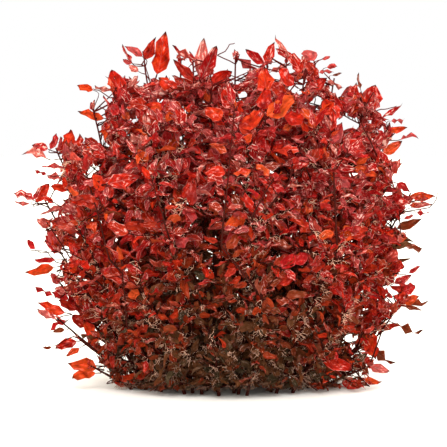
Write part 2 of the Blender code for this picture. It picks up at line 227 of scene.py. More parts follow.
# The edge of the close foliage from the foot at the left round to the foot at the right.
FOLIAGE_EDGE = [
    (-84, 0), (-88, 12), (-94, 20), (-98, 32), (-106, 42), (-98, 52), (-111, 54), (-114, 62),
    (-112, 70), (-121, 72), (-123, 82), (-122, 90), (-126, 97), (-118, 104), (-124, 110), (-137, 111),
    (-137, 119), (-131, 123), (-133, 129), (-124, 134), (-124, 142), (-118, 148), (-122, 154), (-124, 162),
    (-126, 170), (-120, 174), (-123, 182), (-122, 192), (-113, 198), (-112, 188), (-106, 188), (-105, 194),
    (-96, 187), (-90, 184), (-86, 190), (-94, 192), (-94, 198), (-88, 205), (-88, 214), (-86, 219),
    (-79, 222), (-84, 228), (-87, 236), (-82, 244), (-76, 234), (-66, 233), (-60, 230), (-53, 235),
    (-45, 236), (-38, 234), (-34, 230), (-26, 232), (-20, 238), (-14, 235), (-9, 234), (0, 241),
    (6, 239), (9, 231), (14, 230), (16, 236), (15, 242), (24, 243), (30, 246), (35, 237),
    (42, 231), (50, 240), (58, 243), (68, 245), (70, 238), (77, 236), (77, 228), (80, 224),
    (87, 218), (89, 230), (99, 234), (101, 223), (104, 223), (111, 232), (117, 222), (113, 212),
    (119, 205), (118, 198), (128, 197), (129, 190), (117, 184), (115, 178), (124, 174), (125, 164),
    (126, 158), (139, 153), (154, 151), (152, 141), (138, 138), (129, 130), (128, 124), (139, 119),
    (139, 114), (129, 109), (128, 99), (135, 92), (130, 88), (131, 84), (144, 80), (142, 75),
    (145, 70), (136, 66), (128, 60), (119, 50), (119, 46), (113, 45), (112, 30), (108, 24),
    (108, 12), (116, 8), (113, 2), (96, 0),
]

# Where the background shows between the leaves: middle, half width and half height.
GAPS = [
    (-45, 217, 4, 5), (-32, 211, 4, 3), (-18, 219, 4, 3), (-16, 203, 4, 3), (-78, 209, 2, 4),
    (-68, 203, 3, 3), (12, 222, 7, 4), (53, 229, 7, 4), (66, 218, 7, 5), (95, 203, 8, 6), (86, 201, 6, 3),
    (36, 238, 4, 5), (27, 198, 3, 2), (-88, 185, 5, 2), (-97, 168, 4, 4), (-104, 165, 4, 4), (-82, 153, 4, 2),
    (-97, 129, 5, 2), (-110, 120, 5, 4), (-119, 105, 4, 5), (-103, 86, 3, 2), (-119, 68, 3, 5),
    (-111, 61, 2, 4), (-91, 69, 4, 2), (-96, 51, 6, 2), (-93, 36, 3, 3), (-98, 25, 4, 3), (-74, 26, 4, 3),
    (-72, 13, 5, 2), (96, 163, 3, 2), (103, 182, 3, 4), (121, 149, 3, 4), (128, 153, 3, 2), (134, 147, 4, 2),
    (137, 140, 3, 3), (126, 127, 5, 4), (98, 115, 3, 2), (91, 101, 5, 2), (114, 107, 2, 2), (127, 77, 6, 3),
    (124, 70, 5, 2), (103, 62, 4, 2), (92, 40, 4, 4), (91, 26, 4, 2), (112, 35, 2, 4), (97, 14, 5, 3),
    (62, 20, 5, 2), (59, 234, 6, 3), (73, 238, 5, 4), (7, 233, 4, 4), (98, 31, 3, 4),
]
# Growing tips bear leaves beyond that edge too, this far round them.
TIP_ROOM = 4

# Where the front view is seen from and where it looks.
VIEWPOINT = Vector((-1.4, -1858, 252.4)) * MM
VIEW_TARGET = Vector((-1.4, 0, 122.5)) * MM

# Hue and age with painted shade of the tones that the leaves above are given. A rosy leaf shows its pale
# side.
# The rosy hue is a pink sheen painted into the blade colour.
TONES = {
    "crimson": (0.2, 0.0),
    "rosy": (0.0, 0.0),
    "scarlet": (0.5, 0.0),
    "warm": (0.74, 0.0),
    "orange": (0.95, 0.0),
    "ochre": (1.0, 0.2),
    "deep": (0.4, 0.35),
    "brown": (0.5, 0.75),
    "olive": (0.5, 1.0),
}
# The forms of leaves that are seen broadside and of those that are seen nearly edge on.
BROAD_FORMS = (0, 1, 2, 7, 9)
NARROW_FORMS = (0, 4, 6, 8)
# A leaf counts as broadside from this share of its real width on. That is at least this share of the width
# that other leaves have, and the leaf is folded and waved this much more.
BROADSIDE = 0.7
NOTED_WIDTH = 0.62
NOTED_FOLD = 1.4
# Noted leaves and shoots on the face of the dome lie this far before it. The shoots start this much lower.
FACE_ROOM = 7 * MM
LIMB_ROOM = 10 * MM
LIMB_DROP = 25 * MM
LIMB_NODES = 8 * MM
TWIG_WIDTHS = (0.9 * MM, 0.6 * MM)
BARE_SHOOT_WIDTHS = (1.6 * MM, 1.0 * MM)
LIMB_WIDTHS = (1.6 * MM, 0.9 * MM)
# Leaves on the stalks of noted leaves and round the feet, as a share of those on a stem.
SMALL_LEAF_SCALE = 0.75
# The nodes of a noted leaf's stalk: how far below its joint they begin, how far above the stem they end, and
# their spacing.
STALK_NODES = (6 * MM, 3 * MM, 7 * MM)
# What grows towards a noted place rises at least this far in millimetres, or its start counts as further off.
LEAST_RISE = 4
DOWNWARD_COST = 0.8

# Leaves stay clear of the ground and within this room round the frame's box.
LEAF_CLEARANCE = 0.8 * MM
ROOT_CLEARANCE = 0.6 * MM
BOX_ROOM = 8 * MM
# A leaf that would reach below this height is pressed flat on the ground, to this share of its depth.
LYING_HEIGHT = 0.45 * MM
LYING_SHARE = 0.06
# A leaf that doesn't fit is tried again, each time swung further, lifted and shortened.
LEAF_TRIES = 6
TRY_SWING = 0.5
TRY_LIFT = 0.15
TRY_LENGTH = 0.92
# How much a leaf's upper side turns to its outlook, at the ground and at the top of the bush, and outward,
# and how much it prefers that light to the tip of its shoot.
OUTLOOK_PULL = (0.4, 2.2)
OUTLOOK_POWER = 1.6
OUTWARD_PULL = 0.4
LIGHT_PULL = 0.75
# How far a leaf strays by chance: its rise, its roll and its direction.
RISE_SPREAD = math.radians(17)
ROLL_SPREAD = math.radians(28)
STRAY_SPREAD = 0.13
# How much leaves vary in length and width by chance, and in length from the ground to the top of the bush.
LENGTH_CHANCE = (0.65, 1.2)
WIDTH_CHANCE = (0.82, 1.2)
LENGTH_BY_HEIGHT = (0.8, 1.26)
YOUNG_WIDTH = 0.72
# How far below a growing tip leaves are young, are still short, and have come down to their lowest rise.
YOUNG_REACH = 24 * MM
SHORT_REACH = 18 * MM
STEEP_REACH = 55 * MM
LEAF_RISES = (math.radians(50), math.radians(8))
# The two closest nodes at a growing tip: how far below it, and how far their leaves are turned.
TIP_NODES = ((1.5 * MM, 0.3), (5.5 * MM, 0.3 + QUARTER))

# Old leaves that would hide their stem from the front or the back are few this far below its tip. The low
# leaves all stay. Fewer leaves grow in the dark inside of the dome, which begins this deep.
HIDING_BELOW = 50 * MM
HIDING_SHARE = 0.15
LOW_FOLIAGE = 45 * MM
INSIDE = 0.5
INSIDE_SHARE = 0.65

# A grown stem: the steps of its line, its nodes from the tip to the foot, its lowest side shoots, and how
# its leaves thin out, from this far below the tip over this far.
STEM_STEP = 7 * MM
FIRST_NODE = 10 * MM
LAST_NODE = 9 * MM
YOUNG_SPACING = 6 * MM
SPACING_GROWTH = 0.1
SPACING_CHANCE = (0.9, 1.15)
LOWEST_SHOOT = 12 * MM
LOWEST_FRAME_SHOOT = 14 * MM
THINNING = (60 * MM, 120 * MM)
THINNED_SHARE = 0.6

# The side shoots of a dressed stem alone: how likely the outer and the inner one are, their rise in
# degrees, and their length in millimetres, which grows from this far below the tip over this far.
FREE_CHANCES = (0.85, 0.5)
FREE_RISE = (25, 50)
FREE_LENGTH = (14, 36)
FREE_GROWTH = (20 * MM, 110 * MM)
FREE_LENGTH_CHANCE = (0.8, 1.2)
FREE_LIFT = (0.0, 0.5)
# The nodes of a side shoot in millimetres, and its leaves as a share of those on a stem.
SIDE_SPACING = (4.5, 6.5)
SIDE_LAST_NODE = 4 * MM
SIDE_KINK = 0.3 * MM
SIDE_LEAF_SCALE = 0.9
SIDE_TIP_SCALE = 0.85
SIDE_LEAF_SHARE = 0.95

# Fine roots: how deep in the dome they grow, how far from their node, and how far they curl in
# millimetres. A tuft is given by its longest root, the range of its number of roots and the height
# that it grows up to.
ROOT_DEPTH = 0.28
ROOT_SPREAD = 5 * MM
ROOT_CURL = 1.1
ROOT_SLOPE = (-0.6, 0.7)
ROOT_OUTLOOK = 0.8
ROOT_SHORTEST = 0.35
ROOT_LIFT = (-1.6, 0.6)
ROOT_TAPER = 0.6
STEM_ROOTS = (9 * MM, (3, 6), 215 * MM)
SIDE_ROOTS = (8.5 * MM, (4, 8), 200 * MM)
FOOT_ROOTS = (12 * MM, 6)
# The tuft at a cut foot: its height, its longest root and its number of roots in the front and at the back.
CUT_ROOTS = (3 * MM, 10 * MM, 20, 6)
# The low nodes of a stem by their height, and the long thin strands that rise from the front feet.
FOOT_NODES = (5 * MM, 11 * MM, 17 * MM)
FOOT_STRANDS = 2
STRAND_LENGTH = (20 * MM, 45 * MM)

# Bare places of the front view are looked for on a grid of this step, and filled from this near at most.
FILL_STEP = 4
FILL_COLUMNS = range(-40, 41)
FILL_ROWS = range(1, 70)
FILL_REACH = 45 * MM
SHORTEST_FILL = 12 * MM
# Bare places of the dome: how many are tried, how low and how far out they lie, how much room round them has
# no leaf, and how far off they are filled from. One beyond the foliage is lowered by the first of these
# steps, in millimetres, that brings it within.
DOME_PLACES = 1200
DOME_LOWEST = -0.9
DOME_INSET = 0.93
BARE_ROOM = 10 * MM
DOME_REACH = 62 * MM
DOME_DROPS = (0, 8, 16, 24)
# The front of the dome up to its crown, where a place counts as bare within a slightly smaller room.
FRONT_NOTED = (-45 * MM, 175 * MM)
FRONT_BARE_ROOM = 9.5 * MM

# The rows of a leaf: how far along its stalk or its blade each lies, and its share of the widest width.
STALK_ROWS = [(0.0, 0.13), (1.0, 0.08)]
BLADE_ROWS = [(0.06, 0.42), (0.22, 0.88), (0.44, 1.0), (0.68, 0.8), (0.88, 0.36)]
STALK_THICKNESS = 0.032
BLADE_THICKNESS = 0.012
# A blade is scaled less in width than in length, so its folds are eased by as much.
FOLD_EASE = 0.4
# The middle of a blade, as a share of its leaf's length.
BLADE_MIDDLE = 0.6

# A blade's side veins, and how many folds lie side by side across it and follow one another along it.
VEIN_PAIRS = 6.0
VEIN_SLANT = 1.7
FOLDS_ACROSS = 4.5
FOLDS_ALONG = 4.0
BLADE_COLOURS = ("Rosy", "Crimson", "Scarlet", "Orange", "Maroon", "Brown", "Olive")
# The material of each part of a dressed stem.
MATERIAL_NAMES = {
    "Upper side": "leaf_upper_side",
    "Underside": "leaf_underside",
    "Bark": "stem_bark",
    "Root": "fine_root",
}


class LeafForm(NamedTuple):
    """One shape of leaf, as shares of its length, with the wave along its edges and its twist in radians."""

    stalk: float
    breadth: float
    arch: float
    keel: float
    wave: float
    waves: float
    twist: float
    curl: float
    bow: float


LEAF_FORMS = [
    LeafForm(0.16, 1.00, 0.12, 0.30, 0.30, 1.5, 0.0, 1.1, 0.16),
    LeafForm(0.22, 1.04, 0.26, 0.45, 0.40, 2.0, 0.4, 0.5, -0.26),
    LeafForm(0.20, 0.92, 0.20, 0.20, 0.55, 2.5, -0.5, 1.6, 0.34),
    LeafForm(0.26, 0.84, 0.36, 0.55, 0.35, 1.5, 0.2, -0.6, 0.06),
    LeafForm(0.14, 0.96, 0.05, 0.75, 0.40, 2.0, -0.2, 1.8, -0.34),
    LeafForm(0.24, 0.74, 0.16, 0.35, 0.60, 2.5, 1.0, 1.0, 0.24),
    LeafForm(0.18, 1.10, -0.05, 0.50, 0.35, 1.5, -0.9, -1.2, 0.14),
    LeafForm(0.20, 1.00, 0.30, 0.10, 0.65, 2.0, 0.0, 1.9, -0.2),
    LeafForm(0.28, 0.62, 0.08, 0.90, 0.45, 2.0, -1.3, 1.4, 0.44),
    LeafForm(0.14, 1.14, 0.16, 0.25, 0.45, 2.0, 0.3, -0.5, -0.28),
]


class Line(NamedTuple):
    """The middle line of a stem, side shoot or root: a cubic with four control points."""

    controls: tuple
    across: Vector
    length: float


class LeafSite(NamedTuple):
    """Where a leaf grows, how it is turned and sized, its form, and its tone: hue, age with painted shade,
    and chance.
    """

    root: Vector
    turn: Quaternion
    size: Vector
    form: int
    tone: Vector


class Skeleton:
    """What a dressed stem is grown from: lines with a width, and the places of its leaves."""

    def __init__(self):
        self.points = []
        self.radii = []
        self.edges = []
        self.fibres = []
        self.leaves = []

    def add_line(self, points, radii, fibre=False):
        first = len(self.points)
        self.points += points
        self.radii += radii
        self.edges += [(first + i, first + i + 1) for i in range(len(points) - 1)]
        self.fibres += [fibre] * (len(points) - 1)

    def to_mesh(self, name):
        """A mesh with an edge along every line and a loose point for every leaf."""
        mesh = bpy.data.meshes.new(name)
        leaves = self.leaves
        mesh.from_pydata(self.points + [leaf.root for leaf in leaves], self.edges, [])
        add_attribute(mesh, "fibre", "BOOLEAN", "EDGE", self.fibres)
        add_attribute(mesh, "radius", "FLOAT", "POINT", self.radii + [0.0] * len(leaves))
        on_leaves = {
            "bears_leaf": ("BOOLEAN", False, [True] * len(leaves)),
            "form": ("INT", 0, [leaf.form for leaf in leaves]),
            "turn": ("QUATERNION", (1, 0, 0, 0), [leaf.turn for leaf in leaves]),
            "size": ("FLOAT_VECTOR", (0, 0, 0), [leaf.size for leaf in leaves]),
            "tone": ("FLOAT_VECTOR", (0, 0.5, 0), [leaf.tone for leaf in leaves]),
        }
        for label, (kind, on_a_line, values) in on_leaves.items():
            add_attribute(mesh, label, kind, "POINT", [on_a_line] * len(self.points) + values)
        return mesh


def add_attribute(mesh, name, kind, domain, values):
    """Stores one value for each point, edge or face of a mesh."""
    attribute = mesh.attributes.new(name, kind, domain)
    if kind in ("FLOAT_VECTOR", "QUATERNION"):
        values = [number for value in values for number in value]
    attribute.data.foreach_set("vector" if kind == "FLOAT_VECTOR" else "value", values)


def between(low, high, share):
    return low + (high - low) * share


def clamped(value, low=0.0, high=1.0):
    return max(low, min(high, value))


# Settings


def length_property(name, description, default):
    return FloatProperty(name=name, description=description, default=default, unit="LENGTH")


def number_property(name, description, default):
    return FloatProperty(name=name, description=description, default=default)


def place_property(name, description, default):
    return FloatVectorProperty(
        name=name, description=description, default=default, subtype="XYZ", unit="LENGTH"
    )


def colour_property(name, description, default):
    return FloatVectorProperty(
        name=name, description=description, subtype="COLOR", size=4, min=0, max=1, default=default
    )


class SeedboxShoots(bpy.types.PropertyGroup):
    foot_width: length_property("Foot width", "Width of a stem at its cut foot", 2.7 * MM)
    tip_width: length_property("Tip width", "Width of a stem just below its growing tip", 1.1 * MM)
    shoot_width: length_property(
        "Side shoot width", "Width of a side shoot where it leaves the stem", 1.3 * MM
    )
    root_width: length_property("Root width", "Width of the fine roots at the nodes", 0.37 * MM)
    kink: length_property("Kink", "How far a stem strays to the side at each node", 0.5 * MM)
    node_spacing: length_property(
        "Node spacing", "Distance between two pairs of leaves on a grown stem", 8 * MM
    )
    sides: IntProperty(name="Sides", description="Number of faces round a stem", default=4, min=3)


class SeedboxLeaves(bpy.types.PropertyGroup):
    young_length: length_property("Young length", "Length of a young leaf with its stalk", 15.5 * MM)
    grown_length: length_property("Grown length", "Length of a grown leaf with its stalk", 20.5 * MM)
    width_share: number_property("Width", "Width of a blade as a share of the leaf's length", 0.45)
    flutter: length_property("Flutter", "How far the blades are bent out of their plain forms", 9 * MM)
    flutter_size: length_property("Flutter size", "Distance from one bend of the blades to the next", 14 * MM)


class SeedboxColours(bpy.types.PropertyGroup):
    # Rosy is a pink sheen painted into the blade colour.
    rosy: colour_property("Rosy", "Blade of a red leaf with a pink bloom", (0.55, 0.088, 0.090, 1))
    crimson: colour_property("Crimson", "Blade of a cool red leaf", (0.45, 0.011, 0.012, 1))
    scarlet: colour_property("Scarlet", "Blade of a warm red leaf", (0.62, 0.026, 0.008, 1))
    orange: colour_property("Orange", "Blade of an orange leaf", (0.68, 0.088, 0.018, 1))
    maroon: colour_property("Maroon", "Blade of a shaded leaf", (0.35, 0.040, 0.010, 1))
    brown: colour_property("Brown", "Blade of an old leaf at the foot", (0.16, 0.058, 0.022, 1))
    olive: colour_property("Olive", "Blade of an old leaf that has lost its red", (0.085, 0.055, 0.026, 1))
    # The vein colour also paints the pale sheen on the folds and the highlight along the rim.
    vein_and_sheen: colour_property("Vein", "Midrib and veins of a blade", (1.0, 0.74, 0.67, 1))
    underside: colour_property("Underside", "Pale side of a blade", (0.68, 0.20, 0.150, 1))
    bark: colour_property("Bark", "Skin of a grown stem", (0.040, 0.008, 0.006, 1))
    young_bark: colour_property("Young bark", "Skin of a young shoot and leaf stalk", (0.10, 0.010, 0.009, 1))
    root: colour_property("Root", "Fine roots at the nodes", (1.0, 0.60, 0.43, 1))


class SeedboxStage(bpy.types.PropertyGroup):
    floor: colour_property("Floor", "Pale floor under the bush", (0.93, 0.93, 0.92, 1))
    lens: FloatProperty(
        name="Lens",
        description="Focal length of the camera",
        default=200.0,
        subtype="DISTANCE_CAMERA",
        unit="CAMERA",
    )
    viewpoint: place_property("Viewpoint", "Where the camera stands", VIEWPOINT)
    target: place_property("Target", "Point at the middle of the picture", VIEW_TARGET)
    key: number_property("Key", "Strength of the large soft light above the front", 1.6)
    fill: number_property("Fill", "Strength of the low soft light from the front", 1.2)
    sky: number_property("Sky", "Strength of the even light from all round", 2.0)


# Node trees


def add_node(tree, kind, inputs=None, **settings):
    """Adds a node with its settings. A socket is filled by a value or by another node's output."""
    node = tree.nodes.new(kind)
    for name, value in settings.items():
        setattr(node, name, value)
    for key, value in (inputs or {}).items():
        if isinstance(value, bpy.types.NodeSocket):
            tree.links.new(value, node.inputs[key])
        else:
            node.inputs[key].default_value = value
    return node


def add_math(tree, operation, first, second=0.0, third=0.0, clamp=False):
    inputs = {0: first, 1: second, 2: third}
    return add_node(tree, "ShaderNodeMath", inputs, operation=operation, use_clamp=clamp).outputs[0]


def add_product(tree, first, *others):
    for other in others:
        first = add_math(tree, "MULTIPLY", first, other)
    return first


def add_highest(tree, first, *others):
    for other in others:
        first = add_math(tree, "MAXIMUM", first, other)
    return first


def add_ramp(tree, value, low, high, to_low=0.0, to_high=1.0):
    """A smooth step from one value at low to another at high."""
    inputs = {"Value": value, "From Min": low, "From Max": high, "To Min": to_low, "To Max": to_high}
    return add_node(tree, "ShaderNodeMapRange", inputs, interpolation_type="SMOOTHSTEP").outputs["Result"]


def add_mix(tree, factor, first, second):
    """A blend of two colours, by the sockets that a mix node has for colours."""
    return add_node(tree, "ShaderNodeMix", {0: factor, 6: first, 7: second}, data_type="RGBA").outputs[2]


def add_split(tree, vector):
    return add_node(tree, "ShaderNodeSeparateXYZ", {"Vector": vector}).outputs


def add_bump(tree, strength, distance, height):
    inputs = {"Strength": strength, "Distance": distance, "Height": height}
    return add_node(tree, "ShaderNodeBump", inputs).outputs["Normal"]


def new_group(name, kind, inputs, outputs):
    """A node group with named sockets. Returns the tree and its input and output nodes."""
    tree = bpy.data.node_groups.new(name, kind)
    for way, sockets in (("INPUT", inputs), ("OUTPUT", outputs)):
        for label, socket_type in sockets.items():
            tree.interface.new_socket(label, in_out=way, socket_type=socket_type)
    return tree, tree.nodes.new("NodeGroupInput"), tree.nodes.new("NodeGroupOutput")


def fill_outputs(tree, result, values):
    """Links a value to each output of a node group, and returns the group."""
    for label, value in values.items():
        tree.links.new(value, result.inputs[label])
    return tree


def vein_group():
    """Masks of a blade's midrib, of its side veins that curve to the edge, of its rim and of its folds."""
    tree, given, result = new_group(
        "leaf_veins",
        "ShaderNodeTree",
        {"Pairs": "NodeSocketFloat", "Slant": "NodeSocketFloat"},
        dict.fromkeys(("Midrib", "Veins", "Rim", "Folds", "Along"), "NodeSocketFloat"),
    )
    place = add_split(tree, add_node(tree, "ShaderNodeUVMap", uv_map="UVMap").outputs["UV"])
    across = add_math(tree, "ABSOLUTE", add_math(tree, "MULTIPLY_ADD", place["X"], 2.0, -1.0))
    along = place["Y"]
    curved = add_product(tree, add_math(tree, "POWER", across, 1.4), given.outputs["Slant"])
    phase = add_math(tree, "FRACT", add_math(tree, "MULTIPLY_ADD", along, given.outputs["Pairs"], 4.0))
    phase = add_math(tree, "FRACT", add_math(tree, "ADD", add_math(tree, "SUBTRACT", phase, curved), 4.0))
    off_vein = add_math(tree, "ABSOLUTE", add_math(tree, "SUBTRACT", phase, 0.5))
    line = add_ramp(tree, off_vein, 0.0, 0.12, 1.0, 0.0)
    fading = add_ramp(tree, across, 0.55, 0.98, 1.0, 0.0)
    midrib = add_ramp(tree, across, 0.03, 0.11, 1.0, 0.0)
    thinning = add_ramp(tree, along, 0.6, 1.0, 1.0, 0.25)

    tone = add_node(tree, "ShaderNodeAttribute", attribute_name="tone")
    chance = add_split(tree, tone.outputs["Vector"])["Z"]
    spot = {
        "X": add_product(tree, place["X"], FOLDS_ACROSS),
        "Y": add_product(tree, along, FOLDS_ALONG),
        "Z": add_product(tree, chance, 40.0),
    }
    spot = add_node(tree, "ShaderNodeCombineXYZ", spot).outputs[0]
    folds = add_node(tree, "ShaderNodeTexNoise", {"Vector": spot, "Scale": 1.0, "Detail": 2.0}).outputs["Fac"]
    outputs = {
        "Midrib": add_product(tree, midrib, thinning),
        "Veins": add_product(tree, line, fading),
        "Rim": add_ramp(tree, across, 0.86, 0.97),
        "Folds": add_math(tree, "SUBTRACT", folds, 0.5),
        "Along": along,
    }
    return fill_outputs(tree, result, outputs)


def tint_group():
    """A blade's colour from its tone: hue, age with painted shade and a chance value, with mottling and a
    bloom of partly painted sheen.
    """
    tree, given, result = new_group(
        "leaf_tint",
        "ShaderNodeTree",
        dict.fromkeys(BLADE_COLOURS, "NodeSocketColor"),
        {"Color": "NodeSocketColor", "Mottle": "NodeSocketFloat", "Bloom": "NodeSocketFloat"},
    )
    colours = given.outputs
    tone = add_node(tree, "ShaderNodeAttribute", attribute_name="tone")
    hue, age_and_shade, chance = add_split(tree, tone.outputs["Vector"])
    place = add_node(tree, "ShaderNodeTexCoord").outputs["Object"]
    noise = add_node(
        tree,
        "ShaderNodeTexNoise",
        {"Vector": place, "W": chance, "Scale": 170.0, "Detail": 3.0, "Roughness": 0.6},
        noise_dimensions="4D",
    )
    mottle = add_math(tree, "SUBTRACT", noise.outputs["Fac"], 0.5)
    warm = add_math(tree, "MULTIPLY_ADD", mottle, 0.9, hue)
    # The coolest hues go to rosy, a pink sheen painted into the blade colour.
    cool = add_mix(tree, add_ramp(tree, warm, -0.05, 0.2), colours["Rosy"], colours["Crimson"])
    red = add_mix(tree, add_ramp(tree, warm, 0.25, 0.65), cool, colours["Scarlet"])
    fresh = add_mix(tree, add_ramp(tree, warm, 0.66, 0.95), red, colours["Orange"])
    # Age and painted shade take the blade to maroon, then to brown and olive.
    wear_and_shade = add_math(tree, "MULTIPLY_ADD", mottle, 0.5, age_and_shade)
    shaded = add_mix(tree, add_ramp(tree, wear_and_shade, 0.1, 0.75), fresh, colours["Maroon"])
    faded = add_mix(tree, add_ramp(tree, chance, 0.5, 0.8), colours["Brown"], colours["Olive"])
    old = add_mix(tree, add_ramp(tree, wear_and_shade, 0.6, 0.95), shaded, faded)

    # The pale bloom, partly a painted sheen, lies on some leaves, on cool and young ones most, and more
    # towards the top
    # of the bush, where it is painted light from above; leaves in painted shade get less of it.
    height = add_split(tree, place)["Z"]
    young = add_product(
        tree,
        add_ramp(tree, age_and_shade, 0.1, 0.9, 1.0, 0.6),
        add_ramp(tree, height, 60 * MM, 240 * MM, 0.55, 1.15),
    )
    by_chance = add_ramp(tree, chance, 0.25, 0.8, 0.15, 1.2)
    by_hue = add_ramp(tree, hue, 0.25, 0.7, 1.25, 0.35)
    outputs = {"Color": old, "Mottle": mottle, "Bloom": add_product(tree, by_chance, by_hue, young)}
    return fill_outputs(tree, result, outputs)


def new_material(name):
    """An empty material with its output node."""
    material = bpy.data.materials.new(name)
    material.use_nodes = True
    tree = material.node_tree
    tree.nodes.clear()
    return material, tree, tree.nodes.new("ShaderNodeOutputMaterial")


def blade_material(name, colours, groups, pale, roughness, glow):
    """A satin blade that lets some light through. Pale is how far its colour goes to the underside's."""
    material, tree, output = new_material(name)
    blades = {label: getattr(colours, label.lower()) for label in BLADE_COLOURS}
    tint = add_node(tree, "ShaderNodeGroup", blades, node_tree=groups["tint"]).outputs
    slanted = {"Pairs": VEIN_PAIRS, "Slant": VEIN_SLANT}
    veins = add_node(tree, "ShaderNodeGroup", slanted, node_tree=groups["veins"]).outputs

    # The rim, partly a painted highlight along the edge, and the side veins show in patches, the midrib
    # faintly,
    # and a pale sheen is painted on the folds as a highlight.
    patches = add_ramp(tree, veins["Folds"], -0.04, 0.1)
    drawn = add_highest(tree, veins["Rim"], add_product(tree, veins["Veins"], 0.7))
    drawn = add_product(tree, drawn, add_math(tree, "MULTIPLY_ADD", patches, 0.8, 0.1))
    sheen = add_ramp(tree, veins["Folds"], 0.09, 0.17, 0.0, 0.95)
    veins_and_highlights = add_highest(tree, drawn, add_product(tree, veins["Midrib"], 0.18), sheen)
    veins_and_highlights = add_math(tree, "MULTIPLY", veins_and_highlights, tint["Bloom"], clamp=True)

    base = add_mix(tree, add_product(tree, tint["Bloom"], pale), tint["Color"], tuple(colours.underside))
    # Mottling varies the brightness at random, and the folds add painted light and shade to it.
    uneven = add_math(tree, "MULTIPLY_ADD", tint["Mottle"], 1.2, 1.0)
    level = add_math(tree, "MULTIPLY_ADD", veins["Folds"], 1.6, uneven)
    shaded = add_node(tree, "ShaderNodeHueSaturation", {"Value": level, "Color": base}).outputs["Color"]
    veined_and_highlighted = add_mix(tree, veins_and_highlights, shaded, tuple(colours.vein_and_sheen))
    tipped = add_product(tree, add_ramp(tree, veins["Along"], 0.82, 0.97), 0.85)
    colour = add_mix(tree, tipped, veined_and_highlighted, tuple(colours.bark))

    height = add_math(tree, "ADD", add_highest(tree, veins["Midrib"], veins["Veins"]), tint["Mottle"])
    surface = add_node(
        tree,
        "ShaderNodeBsdfPrincipled",
        {
            "Base Color": colour,
            "Roughness": add_math(tree, "MULTIPLY_ADD", tint["Mottle"], 0.3, roughness),
            "Specular IOR Level": 0.04,
            "Normal": add_bump(tree, 0.35, 0.4 * MM, height),
        },
    )
    through = add_node(tree, "ShaderNodeBsdfTranslucent", {"Color": colour})
    mixed = add_node(tree, "ShaderNodeMixShader", {0: glow, 1: surface.outputs[0], 2: through.outputs[0]})
    tree.links.new(mixed.outputs[0], output.inputs["Surface"])
    return material


def bark_material(name, young, old, low, high, roughness):
    """Skin of a stem or root, young above a height and old below another, with fine streaks."""
    material, tree, output = new_material(name)
    place = add_node(tree, "ShaderNodeTexCoord").outputs["Object"]
    drawn_out = add_node(tree, "ShaderNodeMapping", {"Vector": place, "Scale": (1, 1, 0.25)})
    streaks = add_node(
        tree, "ShaderNodeTexNoise", {"Vector": drawn_out.outputs["Vector"], "Scale": 900.0, "Detail": 2.0}
    ).outputs["Fac"]
    grown = add_math(tree, "SUBTRACT", add_ramp(tree, add_split(tree, place)["Z"], low, high), 0.3)
    share = add_math(tree, "MULTIPLY_ADD", streaks, 0.6, grown, clamp=True)
    surface = add_node(
        tree,
        "ShaderNodeBsdfPrincipled",
        {
            "Base Color": add_mix(tree, share, tuple(old), tuple(young)),
            "Roughness": roughness,
            "Specular IOR Level": 0.0,
            "Normal": add_bump(tree, 0.3, 0.2 * MM, streaks),
        },
    )
    tree.links.new(surface.outputs[0], output.inputs["Surface"])
    return material


def make_plant_materials(colours):
    """The materials of a dressed stem. Bark and roots are darker towards the ground, going from the bark
    colour to their own colour between two heights.
    """
    groups = {"veins": vein_group(), "tint": tint_group()}
    blade_material(MATERIAL_NAMES["Upper side"], colours, groups, 0.0, 0.26, 0.56)
    blade_material(MATERIAL_NAMES["Underside"], colours, groups, 0.45, 0.42, 0.56)
    bark_material(MATERIAL_NAMES["Bark"], colours.young_bark, colours.bark, 120 * MM, 260 * MM, 0.65)
    bark_material(MATERIAL_NAMES["Root"], colours.root, colours.bark, -20 * MM, 45 * MM, 0.6)


# Leaf forms


def leaf_ring(form, along, width, share):
    """The left, upper, right and lower points round a leaf, this far along it and along its blade."""
    drop = form.curl * max(0.0, share - 0.6) ** 2 - form.arch * along**2
    middle = Vector((form.bow * share**2, along, drop))
    turn = form.twist * share
    wave = math.tau * form.waves * share
    opened = min(1.0, share * 5)
    sides = []
    for side in (-1, 1):
        swing = math.sin(wave + (2.2 if side < 0 else 0)) * form.wave
        rise = (form.keel + swing) * opened * width / 2
        x = side * width / 2 * (1 + 0.19 * math.cos(wave + 2 * side))
        sides.append(middle + Vector((x * math.cos(turn), 0, (rise + x * math.sin(turn)) * FOLD_EASE)))
    thickness = between(STALK_THICKNESS, BLADE_THICKNESS, opened)
    left, right = sides
    return [left, middle + UP * thickness * 0.4, right, middle - UP * thickness * 0.6]


def leaf_strip(lower, upper):
    """The triangles between two rings: four for the upper side and four for the underside, split alike."""
    triangles = []
    for i in range(4):
        a, b, c, d = lower[(i + 1) % 4], lower[i], upper[i], upper[(i + 1) % 4]
        triangles += [(a, b, d), (b, c, d)] if i < 2 else [(a, b, c), (a, c, d)]
    return triangles


